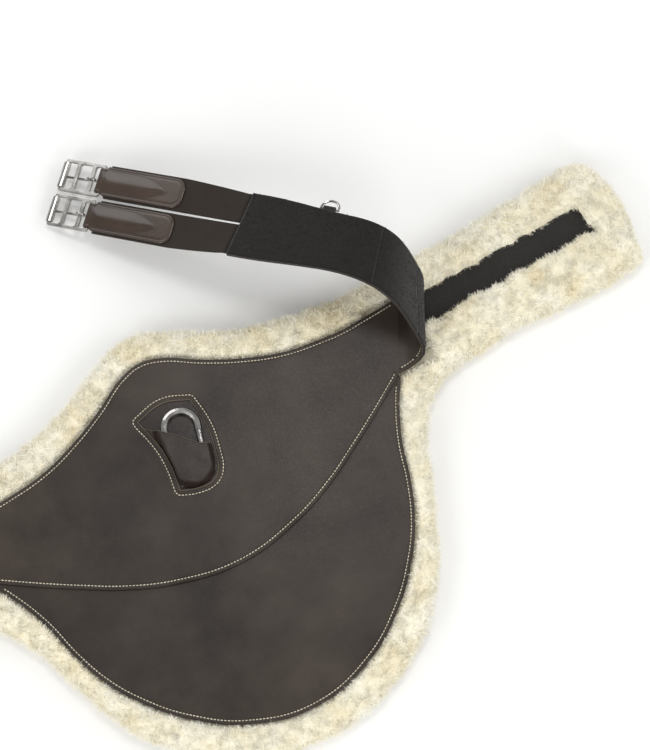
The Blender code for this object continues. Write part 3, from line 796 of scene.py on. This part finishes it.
def past_box(x, y, low_x, high_x, half_y):
    """How far points are outside a rectangle centred on y = 0; negative inside it."""
    return np.maximum(np.maximum(low_x - x, x - high_x), np.abs(y) - half_y)


def shoulder(rim, reach):
    """A round rise from 0 at the rim to 1 at the reach."""
    return np.sqrt(np.clip(1 - (1 - np.clip(rim / reach, 0, 1)) ** 2, 0, 1))


def make_wool():
    edge = outline(mirrored(SHEEPSKIN_EDGE), 2.2 * MM)
    leather_rim = outline(mirrored(FRONT_EDGE + GUARD_REAR), 4 * MM)

    def covered(flat):
        """How far each point is outside what lies on the wool; negative under it."""
        d = off_line(flat, leather_rim) * np.where(inside(flat, leather_rim), -1, 1)
        x, y = flat[:, 0], flat[:, 1]
        strap = past_box(x, y, -480 * MM, -205 * MM, 35.5 * MM)
        root = past_box(x, y, 205 * MM, 243 * MM, 34 * MM)
        px, py = x - TAPE_CENTRE[0], y - TAPE_CENTRE[1]
        along = px * math.cos(TAPE_LEAN) + py * math.sin(TAPE_LEAN)
        across = py * math.cos(TAPE_LEAN) - px * math.sin(TAPE_LEAN)
        tape = past_box(along, across, -130 * MM, TAPE_LENGTH / 2, TAPE_WIDTH / 2)
        ragged = noise_at(flat, 70)
        tape = tape + 5.5 * MM * ragged + 1.5 * MM
        return np.minimum(np.minimum(d, strap), np.minimum(root, tape))

    def top_height(flat, off, rim):
        puff = FULL_PILE + 3.0 * MM * ease((flat[:, 0] - 215 * MM) / (40 * MM))
        level = FLATTENED + (puff - FLATTENED) * ease((off + 1 * MM) / (7 * MM))
        return FLEECE_MIDDLE + (level - FLEECE_MIDDLE) * shoulder(rim, 15 * MM)

    def low_height(rim):
        return FLEECE_MIDDLE - 9.3 * MM * shoulder(rim, 11 * MM)

    rings = [inward(edge, d * MM) for d in (0.3, 1.0, 2.0, 3.4, 5.2, 7.4, 10, 12.5)]
    fine = grid_points(edge, 2.7 * MM)
    fine = fine[off_line(fine, edge) > 13 * MM]
    fine = fine[covered(fine) > -6 * MM]
    coarse = grid_points(edge, 12 * MM)
    coarse = coarse[covered(coarse) < -8 * MM]
    flat, faces = triangulated([edge], np.vstack([*rings, fine, coarse]))
    rim, off = off_line(flat, edge), covered(flat)
    top = np.c_[flat, top_height(flat, off, rim)]

    below = grid_points(edge, 4.5 * MM)
    below = below[off_line(below, edge) > 13 * MM]
    under_flat, under_faces = triangulated([edge], np.vstack([*rings, below]))
    under_rim = off_line(under_flat, edge)
    under = np.c_[under_flat, low_height(under_rim)]

    verts, faces = joined(top, faces, under, under_faces, len(edge))
    normals = vertex_normals(verts, faces)
    showing = np.r_[np.clip((off + 1 * MM) / (4 * MM), 0, 1), np.ones(len(verts) - len(top))]
    clump = np.array([noise.noise(Vector(v * 115)) for v in verts])
    locks = np.array([noise.noise(Vector(v * 330)) for v in verts])
    swell = np.array([noise.noise(Vector(v * 30)) for v in verts])
    verts = verts + normals * ((clump * 1.9 + locks * 0.75 + swell * 1.6) * MM * showing)[:, None]
    near = off_line(verts[:, :2], MITRE, False)
    groove = MITRE_DEPTH * np.exp(-((near / MITRE_REACH) ** 2))
    verts[:, 2] -= np.where(verts[:, 2] > 12 * MM, groove, 0)
    verts[:, 2] = np.maximum(verts[:, 2], 0.3 * MM)

    body = mesh_piece("wool_body", verts, faces, WOOL_SHADED_BODY_LOOK)
    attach(body, "girth")
    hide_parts("sheepskin")

    faces = np.array(faces)
    middle = verts[faces].mean(1)
    place = covered(middle[:, :2])
    upper = np.arange(len(faces)) < len(faces) - len(under_faces)
    density = np.where(upper, np.clip((place + 2.5 * MM) / (2 * MM), 0, 1), 0.0)
    density = np.where(upper | (middle[:, 2] > 4 * MM), np.maximum(density, ~upper * 1.0), 0.22)
    density = density * np.where(off_line(middle[:, :2], MITRE, False) < 1.1 * MM, 0.1, 1)
    counts = ((39000, 39000, 39000, 39000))
    for i, count in enumerate(counts):
        fibres = wool_fibres(f"wool_fibres_{i + 1}", verts, faces, density, count, covered)
        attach(fibres, "girth")


def joined(top, faces, under, under_faces, shared):
    """The two halves of a closed form whose first points are the same rim."""
    count = len(top)
    number = np.r_[np.arange(shared), np.arange(len(under) - shared) + count]
    flipped = number[under_faces][:, ::-1]
    return np.vstack([top, under[shared:]]), np.vstack([faces, flipped])


def vertex_normals(verts, faces):
    a, b, c = (verts[faces[:, i]] for i in range(3))
    face = np.cross(b - a, c - a)
    total = np.zeros_like(verts)
    for i in range(3):
        np.add.at(total, faces[:, i], face)
    return total / np.maximum(np.linalg.norm(total, axis=1), 1e-12)[:, None]


def wool_fibres(name, verts, faces, density, count, covered):
    """Curved, tapered locks of wool that stand out of the body, in clumps."""
    a, b, c = (verts[faces[:, i]] for i in range(3))
    cross = np.cross(b - a, c - a)
    area = np.linalg.norm(cross, axis=1) * density
    chosen = RNG.choice(len(faces), count, p=area / area.sum())
    u, v = RNG.random((2, count, 1))
    u, v = np.where(u + v > 1, 1 - u, u), np.where(u + v > 1, 1 - v, v)
    root = a[chosen] + u * (b - a)[chosen] + v * (c - a)[chosen]
    normal = cross[chosen] / np.linalg.norm(cross[chosen], axis=1)[:, None]
    flow = np.array([noise.noise_vector(Vector(p * 75)) for p in root])
    swirl = np.array([noise.noise_vector(Vector(p * 260)) for p in root])
    loose = RNG.normal(0, 0.22, (count, 3))
    ahead = normal * 0.85 + flow * 0.9 + swirl * 0.7 + loose
    ahead /= np.linalg.norm(ahead, axis=1)[:, None]
    curl = np.array([noise.noise_vector(Vector(p * 190 + np.array((5, 1, 2)))) for p in root])
    curl = curl * 0.9 + RNG.normal(0, 0.3, (count, 3))
    length = RNG.uniform(4.2, 7.6, (count, 1)) * MM
    off = covered(root[:, :2])
    length *= (0.55 + 0.45 * np.clip(off / (6 * MM), 0, 1))[:, None]
    width = RNG.uniform(0.16, 0.34, (count, 1)) * MM
    side = np.cross(ahead, RNG.normal(0, 1, (count, 3)))
    side /= np.linalg.norm(side, axis=1)[:, None]
    start = root - normal * 1.2 * MM
    lines = []
    for share, wide in ((0, 1.0), (0.45, 0.9), (0.8, 0.6)):
        middle = start + ahead * length * share + curl * length * share**2 * 0.5
        lines += [middle - side * width * wide, middle + side * width * wide]
    lines.append(start + ahead * length + curl * length * 0.5)
    points = np.stack(lines, axis=1)
    points[..., 2] = np.maximum(points[..., 2], 0.25 * MM)
    base = np.arange(count)[:, None] * 7
    quads = np.concatenate([base + np.array((0, 1, 3, 2)), base + np.array((2, 3, 5, 4))])
    tips = base + np.array((4, 5, 6))
    return mesh_piece(name, points.reshape(-1, 3), list(quads) + list(tips), WOOL_TIPS)


# ---------------------------------------------------------------- hook tapes

def make_tapes():
    for side in ("right", "left"):
        out = 1 if side == "right" else -1
        base_z, high_z = (corner.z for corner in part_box(f"{side}_hook_strip"))
        nx, ny = 190, 36
        x = np.linspace(-TAPE_LENGTH / 2, TAPE_LENGTH / 2, nx)
        y = np.linspace(-TAPE_WIDTH / 2, TAPE_WIDTH / 2, ny)
        px, py = np.meshgrid(x, y, indexing="ij")
        ribs = 0.28 * MM * np.sin(px / (2.6 * MM) * math.tau)
        rough = np.array([noise.noise(Vector((a * 400, b * 400, 0))) for a, b in
                          zip(px.ravel(), py.ravel())]).reshape(px.shape) * 0.35 * MM
        fall = np.where(TAPE_WIDTH / 2 - np.abs(py) < 0.6 * MM, -0.9 * MM, 0)
        top = high_z + ribs + rough + fall
        lean = out * TAPE_LEAN
        turned_x = out * TAPE_CENTRE[0] + px * math.cos(lean) - py * math.sin(lean)
        turned_y = TAPE_CENTRE[1] + px * math.sin(lean) + py * math.cos(lean)
        verts = np.stack([turned_x, turned_y, top], axis=2).reshape(-1, 3)
        base = verts.copy()
        base[:, 2] = base_z - 0.2 * MM
        tape = mesh_piece(f"{side}_hook_tape", np.vstack([verts, base]), slab_faces(nx, ny),
                          HOOK_LOOK)
        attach(tape, "girth")
        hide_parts(f"{side}_hook_strip")


# ---------------------------------------------------------------- strap ends

class Strap:
    """A strap end's middle line, the same as in the CAD."""

    STEP = 1 * MM

    def __init__(self, side):
        self.side = side
        self.rolled = side == "right"
        self.front = 1 if self.rolled else -1
        turn = Matrix.Rotation(0 if self.rolled else math.pi, 4, "Z")
        self.frames = [Matrix.Translation((self.front * NECK_X, 0, STRAP_Z)) @ turn]
        for i in range(int(BAR_AT / self.STEP) + 60):
            self.frames.append(self.next(self.frames[-1], i * self.STEP))

    def crease(self, s):
        if not self.rolled or s > STRAP_END + 8 * MM:
            return math.pi / 2
        share = min(max((s - CREASE_FROM) / (CREASE_TO - CREASE_FROM), 0), 1)
        return CREASE_START + (CREASE_END - CREASE_START) * share

    def bend(self, s):
        if not self.rolled:
            return -LEFT_SAG / (SAG_TO - SAG_FROM) if SAG_FROM < s < SAG_TO else 0
        d = (s - ROLL_START) * math.sin(CREASE_START)
        if d < FIRST_ROLL:
            return FIRST_ROLL_ANGLE / FIRST_ROLL * (1 - math.cos(math.tau * d / FIRST_ROLL))
        d -= FIRST_ROLL
        second = SECOND_ROLL_ANGLE / SECOND_ROLL * (1 - math.cos(math.tau * d / SECOND_ROLL))
        return DROOP + (second if d < SECOND_ROLL else 0)

    def next(self, at, s):
        angle = self.crease(s)
        line = Vector((math.cos(angle), math.sin(angle), 0))
        roll = 0 if s > BAR_AT - CHAPE_LENGTH else -self.bend(s) * self.STEP * math.sin(angle)
        on_elastic = self.rolled and STRAP_END < s < BAR_AT - CHAPE_LENGTH
        turned = at @ Matrix.Rotation(roll, 4, line)
        twist, turn = (ELASTIC_TWIST, ELASTIC_TURN) if on_elastic else (0, 0)
        turned = turned @ Matrix.Rotation(twist * self.STEP, 4, "X")
        turned = turned @ Matrix.Rotation(turn * self.STEP, 4, "Z")
        return turned @ Matrix.Translation((self.STEP, 0, 0))

    def frame(self, s):
        place = s / self.STEP
        i = min(max(int(place), 0), len(self.frames) - 2)
        return self.frames[i].lerp(self.frames[i + 1], place - i)

    def point(self, s, across, out=0.0):
        foot = s
        for _ in range(4):
            foot = s - across / math.tan(self.crease(foot))
        return self.frame(foot) @ Vector((s - foot, across, out))

    def half_width(self, s):
        waist = 30.5 * MM
        if s < 150 * MM:
            return waist + (32.5 * MM - waist) * (1 - float(ease(s / (50 * MM))))
        return waist + (35.5 * MM - waist) * float(ease((s - 150 * MM) / (90 * MM)))


def strip_piece(name, strap, start, end, half, heights, look, edges, step, along_step, middle=0.0,
                ends=(True, True)):
    """A strip along the strap, walled at its ends where ends says so.

    start and end are each a distance along the strap and the slant of the cut there. edges are
    the distances in millimetres from each long edge at which the strip has a line of points.
    heights(s, d, a), with d from the edge and a across, gives the lower and the upper face.
    """
    (s0, lean0), (s1, lean1) = start, end
    count = max(2, int((s1 - s0) / along_step) + 1)
    verts, uvs = [], []
    near = [d * MM for d in edges]
    inner_count = max(3, int(60 * MM / step))
    columns = inner_count + 2 * (len(near) - 1)
    for i in range(count):
        t = i / (count - 1)
        s = s0 + (s1 - s0) * t
        wide = half(s) if callable(half) else half
        inner = np.linspace(-wide + near[-1], wide - near[-1], inner_count)
        outer = [wide - d for d in near[:-1]]
        stations = np.r_[[-d for d in outer], inner, outer[::-1]]
        for a in stations:
            at = s + a * (lean0 * (1 - t) + lean1 * t)
            low, high = heights(at, wide - abs(a), a)
            verts.append((strap.point(at, middle + a, low), strap.point(at, middle + a, high)))
            uvs.append((at, a + middle))
    low, high = zip(*verts)
    faces = slab_faces(count, columns, ends)
    made = mesh_piece(name, high + low, faces, look, uvs=uvs + uvs)
    caps = (columns - 1) * (int(ends[0]) + int(ends[1]))
    for face in list(made.data.polygons)[len(faces) - caps:]:
        face.use_smooth = False
    return made


def leather_heights(at, d, a):
    low, high = STRAP_LEATHER
    grain = 0.12 * MM * noise.noise(Vector((at * 45, a * 45, 2)))
    return low, high + float(profile(d, SEWN_EDGE)) + grain


def lining_heights(at, d, a):
    low, high = STRAP_LINING
    edge = float(np.interp(d / MM, (0, 0.4, 1.2), (0.8, 0.25, 0))) * MM
    pile = 0.16 * MM * noise.noise(Vector((at * 420, a * 420, 1)))
    return low + edge + pile, high


# The strap's lengths between cuts, and where each of the first three bends over its hinge.
PIECES = (
    ("root", 0.0, 0.019), ("first", 0.019, 0.057), ("second", 0.057, 0.118),
    ("tail", 0.118, STRAP_END),
)
BENDS = {"root": (0.0, 0.017), "first": (0.023, 0.053), "second": (0.061, 0.091)}


def bend_piece(obj, strap, which):
    """Let the tail piece ride on its body; root, first and second, which cross a hinge each, are
    baked in place.
    """
    side = strap.side
    bodies = ["girth"] + [f"{side}_strap_{part}" for part in ("roll_1", "roll_2", "end")]
    if which == "tail":
        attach(obj, bodies[3])
        return
    i = list(BENDS).index(which)
    start, end = (strap.point(s, 0) for s in BENDS[which])
    joint = next(j for j in frame["joints"]
                 if j["parent"] == bodies[i] and j["child"] == bodies[i + 1])
    axis = Vector(joint["axis"]).normalized()
    end = end - axis * (end - start).dot(axis)
    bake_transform(obj)


def make_strap(strap):
    side = strap.side
    for which, s0, s1 in PIECES:
        lean0 = 1 / math.tan(strap.crease(s0))
        lean1 = 0 if which == "tail" else 1 / math.tan(strap.crease(s1))
        piece = strip_piece(f"{side}_strap_{which}", strap, (s0, lean0), (s1, lean1),
                            strap.half_width, leather_heights, STRAP_LOOK,
                            (0, 0.25, 0.8, 1.6, 2.6, 3.1, 3.5, 3.9, 4.5, 6), 4 * MM, 2.5 * MM,
                            ends=(False, which == "tail"))
        bend_piece(piece, strap, which)
        lining = strip_piece(f"{side}_loop_{which}", strap, (s0, lean0), (s1, lean1),
                             strap.half_width, lining_heights, LOOP_LOOK,
                             (0, 0.4, 1.2, 2.4), 2.2 * MM, 2 * MM)
        bend_piece(lining, strap, which)
        nap = nap_piece(f"{side}_nap_{which}", strap, s0, s1, lean0, lean1)
        bend_piece(nap, strap, which)
        wide = 2 * strap.half_width((s0 + s1) / 2)
        sewn = strap_stitches(f"{side}_stitches_{which}", strap, s0, s1)
        bend_piece(sewn, strap, which)
    names = [f"{side}_strap_leather_{p}" for p in ("roll_1", "roll_2", "end")]
    linings = [f"{side}_strap_lining_{p}" for p in ("roll_1", "roll_2", "end")]
    for which, node, lining in zip(("first", "second", "tail"), names, linings):
        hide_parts(node)
        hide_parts(lining)
    dress(f"{side}_ring_tab", LEATHER)
    dress(f"{side}_ring", STEEL)


def nap_piece(name, strap, s0, s1, lean0, lean1):
    """Short loops and loose fibres on the lining's face."""
    area = (s1 - s0) * 2 * strap.half_width((s0 + s1) / 2)
    count = int(area / (2.4 * MM * MM))
    points, faces = [], []
    low = STRAP_LINING[0]
    for k in range(count):
        t, r = RNG.random(2)
        s = s0 + (s1 - s0) * t
        wide = strap.half_width(s)
        a = wide * (2 * r - 1) * 0.995
        at = s + a * (lean0 * (1 - t) + lean1 * t)
        turn, lie = RNG.uniform(0, math.tau), RNG.uniform(0.4, 1.3)
        dx, dy = math.cos(turn) * lie * MM, math.sin(turn) * lie * MM
        edge_a = min(max(a + dy, -wide), wide)
        root = strap.point(at, a, low + 0.1 * MM)
        side = strap.point(at + 0.22 * MM * math.sin(turn), a - 0.22 * MM * math.cos(turn),
                           low + 0.05 * MM)
        top = strap.point(at + dx * 0.6, a + (edge_a - a) * 0.6, low - RNG.uniform(0.25, 0.75) * MM)
        tip = strap.point(at + dx, edge_a, low + 0.05 * MM)
        start = len(points)
        points += [root, side, top, tip]
        faces += [(start, start + 1, start + 2), (start + 1, start + 3, start + 2)]
    return mesh_piece(name, points, faces, NAP_LOOK)


def strap_stitches(name, strap, s0, s1):
    rows = []
    first = int(math.ceil((s0 + 1.2 * MM) / PITCH))
    last = int((s1 - 1.2 * MM) / PITCH)
    for sign in (-1, 1):
        for i in range(first, last + 1):
            s = i * PITCH
            a = sign * (strap.half_width(s) - 3.5 * MM)
            if s < 0.1:
                s += a / math.tan(strap.crease(s))
            rows.append(strap_row(strap, s, a, STRAP_LEATHER[1] - 0.32 * MM))
    return stitches(name, rows, THREAD_LOOK)


def strap_row(strap, s, a, out):
    back, ahead = strap.point(s - STITCH / 2, a, out), strap.point(s + STITCH / 2, a, out)
    up = (strap.point(s, a, out + MM) - strap.point(s, a, out)).normalized()
    return np.array(back), np.array(ahead), np.array(up)


# ---------------------------------------------------------------- elastics and chapes

def elastic_heights(at, d, a):
    ribs = 0.05 * MM * math.cos(a / (1.5 * MM) * math.tau)
    edge = float(np.interp(d / MM, (0, 0.5, 1.4), (0.7, 0.15, 0))) * MM
    half = ELASTIC_THICK / 2
    return -half + edge - ribs, half - edge + ribs


def make_billet_end(strap, name):
    side = strap.side
    full = f"{side}_{name}"
    sign = 1 if name == "front" else -1
    middle = sign * strap.front * ELASTIC_APART / 2
    s0, s1 = STRAP_END + 0.3 * MM, BAR_AT - 7 * MM
    elastic = strip_piece(f"{full}_web", strap, (s0, 0), (s1, 0), ELASTIC_WIDTH / 2,
                          elastic_heights, ELASTIC_LOOK, (0, 0.5, 1.4), 0.4 * MM, 5 * MM, middle)
    strap.point(STRAP_END + 4 * MM, middle)
    strap.point(BAR_AT - CHAPE_LENGTH - 6 * MM, middle)
    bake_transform(elastic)
    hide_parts(f"{full}_elastic")

    bar = strap.frame(BAR_AT) @ Matrix.Translation((0, middle, 0))
    chape, rows = chape_piece(f"{full}_chape_leather", bar)
    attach(chape, f"{full}_chape")
    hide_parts(f"{full}_chape")
    sewn = stitches(f"{full}_chape_stitches", rows, DARK_THREAD, 0.42 * MM)
    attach(sewn, f"{full}_chape")
    for part in ("buckle_frame", "buckle_roller", "buckle_tongue"):
        node = f"{full}_{part}"
        dress(node, STEEL)
        soften(frame["nodes"][node], 0.3 * MM if part == "buckle_frame" else 0.15 * MM)


CHAPE_CORNER = 10 * MM
# How far the chape's face drops, in millimetres, by the distance from its edge.
CHAPE_EDGE = (0, 0.3, 0.9, 2.0, 2.6, 3.1, 3.8), (0.7, 0.3, 0.05, 0, 0.3, 0.05, 0)


def chape_half(x):
    """Half the chape's width at a distance before the bar (x is negative)."""
    width, throat = CHAPE_WIDTH / 2, THROAT_WIDTH / 2
    centre = -CHAPE_LENGTH + CHAPE_CORNER
    if x < centre:
        return width - CHAPE_CORNER + math.sqrt(max(CHAPE_CORNER**2 - (x - centre) ** 2, 0))
    if x < -5.5 * MM:
        return width
    return throat + (width - throat) * min(max((-4 * MM - x) / (1.5 * MM), 0), 1)


def swelling(x, y, most):
    """The raised tongue in the middle of the chape, pointed at its far end."""
    length = -x / CHAPE_LENGTH
    span = 10.6 * MM * (1 - float(ease((length - 0.5) / 0.3))) if length < 0.79 else 0
    if span <= 0.4 * MM:
        return 0.0
    ridge = 1 - float(ease((abs(y) - span * 0.15) / (span * 0.85)))
    return most * ridge * float(ease((0.80 - length) / 0.12)) * float(ease((length - 0.01) / 0.08))


def chape_piece(name, bar):
    """Leather folded round the buckle's bar, sewn to the elastic between its two layers."""
    radius, thick, inner = 2.6 * MM, 1.8 * MM, 1.5 * MM
    centre, corner = -CHAPE_LENGTH + CHAPE_CORNER, CHAPE_CORNER
    width = CHAPE_WIDTH / 2
    ends = [centre - corner * math.cos(math.pi / 2 * i / 14) * 0.998 for i in range(14)]
    throat = [-5.5 * MM, -5 * MM, -4.5 * MM, -4 * MM, -3 * MM]
    xs = sorted(set(ends + list(np.linspace(centre, -6 * MM, 22)) + throat))
    stations = [("low", x) for x in xs] + [("turn", t) for t in np.linspace(-72, 72, 13)]
    stations += [("high", x) for x in reversed(xs)]
    cross = np.array([-1, -0.985, -0.94, -0.88, -0.83, -0.79, -0.72, -0.6, -0.45, -0.3, -0.15, 0,
                      0.15, 0.3, 0.45, 0.6, 0.72, 0.79, 0.83, 0.88, 0.94, 0.985, 1])
    outer, lower = [], []
    for kind, value in stations:
        for c in cross:
            if kind == "turn":
                t = math.radians(value)
                y = c * THROAT_WIDTH / 2
                drop = 0.45 * MM * max(0, (abs(c) - 0.88) / 0.12) ** 2
                reach = radius + thick - drop
                outer.append((reach * math.cos(t), y, reach * math.sin(t)))
                lower.append((radius * math.cos(t), y, radius * math.sin(t)))
                continue
            sign = -1 if kind == "low" else 1
            y = c * chape_half(value)
            d = chape_half(value) - abs(y)
            if value < centre:
                d = corner - math.hypot(value - centre, max(abs(y) - width + corner, 0))
            drop = float(np.interp(d / MM, *CHAPE_EDGE)) * MM
            if value > -8 * MM:
                drop = min(drop, 0.45 * MM)
            near = max(0, 1 + value / (7 * MM))
            level = inner + thick + (radius - inner) * near * near
            hump = swelling(value, y, 1.7 * MM if sign < 0 else 1.1 * MM)
            outer.append((value, y, sign * (level - drop + hump)))
            lower.append((value, y, sign * (inner + (radius - inner) * near * near)))
    faces = slab_faces(len(stations), len(cross))
    made = mesh_piece(name, [bar @ Vector(p) for p in outer + lower], faces, CHAPE_LOOK)

    rows = []
    for sign in (-1, 1):
        out = sign * (inner + thick - 0.1 * MM)
        path = [(-8 * MM, width - 2.6 * MM)]
        path += [(centre, width - 2.6 * MM)]
        path += [(centre - (corner - 2.6 * MM) * math.sin(t),
                  width - corner + (corner - 2.6 * MM) * math.cos(t))
                 for t in np.linspace(0.1, math.pi / 2, 10)]
        full = path + [(x, -y) for x, y in reversed(path[:-1])]
        point = [(-8 * MM, 10.8 * MM), (-44 * MM, 10.8 * MM), (-56 * MM, 8.6 * MM), (-75 * MM, 0)]
        vee = point + [(x, -y) for x, y in reversed(point[:-1])]
        for line in ([vee] if sign < 0 else [full, vee]):
            line = np.array(line)
            along = np.r_[0, np.cumsum(np.linalg.norm(np.diff(line, axis=0), axis=1))]
            s = 1.4 * MM
            while s < along[-1] - 1.4 * MM:
                ends_at = [Vector((np.interp(s + k, along, line[:, 0]),
                                   np.interp(s + k, along, line[:, 1]), out))
                           for k in (-0.85 * MM, 0.85 * MM)]
                up = (bar.to_3x3() @ Vector((0, 0, sign))).normalized()
                rows.append((np.array(bar @ ends_at[0]), np.array(bar @ ends_at[1]), np.array(up)))
                s += 2.5 * MM
    return made, rows


# ---------------------------------------------------------------- studio

def make_studio():
    mesh = bpy.data.meshes.new("floor")
    corners = ((-4, -4), (4, -4), (4, 4), (-4, 4))
    mesh.from_pydata([(x, y, -0.6 * MM) for x, y in corners], [], [(0, 1, 2, 3)])
    mesh.materials.append(surface("floor", (0.93, 0.93, 0.92), 0.9)[0])
    floor = bpy.data.objects.new("floor", mesh)
    bpy.context.scene.collection.objects.link(floor)

    world = bpy.data.worlds.new("studio")
    world.use_nodes = True
    world.node_tree.nodes["Background"].inputs[0].default_value = (1, 1, 1, 1)
    world.node_tree.nodes["Background"].inputs[1].default_value = 0.42
    bpy.context.scene.world = world
    for name, at, size, power in (
        ("left", (-2.0, -0.5, 1.4), 1.5, 24), ("right", (2.2, -0.9, 1.4), 1.5, 20),
        ("near", (0.1, -2.3, 1.6), 1.5, 22), ("far", (-0.3, 2.4, 1.3), 1.5, 16),
        ("gleam", (0.42, 0.46, 2.2), 0.5, 9),
    ):
        data = bpy.data.lights.new(name, "AREA")
        data.size = size
        data.energy = power
        lamp = bpy.data.objects.new(name, data)
        lamp.location = at
        aim = Vector((0.1, 0, 0)) - Vector(at)
        lamp.rotation_euler = aim.to_track_quat("-Z", "Y").to_euler()
        bpy.context.scene.collection.objects.link(lamp)

    azimuth, elevation, lens = math.radians(-27.8), math.radians(75), 95
    distance = lens * 0.69 / 36
    target = Vector((0.147, -0.0023, 0.028))
    data = bpy.data.cameras.new("camera")
    data.lens = lens
    data.sensor_width = 36
    data.clip_start = 0.05
    camera = bpy.data.objects.new("camera", data)
    camera.location = target + distance * Vector((
        math.sin(azimuth) * math.cos(elevation), -math.cos(azimuth) * math.cos(elevation),
        math.sin(elevation)))
    camera.rotation_euler = (target - camera.location).to_track_quat("-Z", "Y").to_euler()
    bpy.context.scene.collection.objects.link(camera)
    bpy.context.scene.camera = camera
    bpy.context.scene.view_settings.view_transform = "Standard"


make_studio()
make_pocket(make_body())
make_wool()
make_tapes()
for strap in (Strap("left"), Strap("right")):
    make_strap(strap)
    for billet in ("front", "rear"):
        make_billet_end(strap, billet)

bpy.context.view_layer.update()
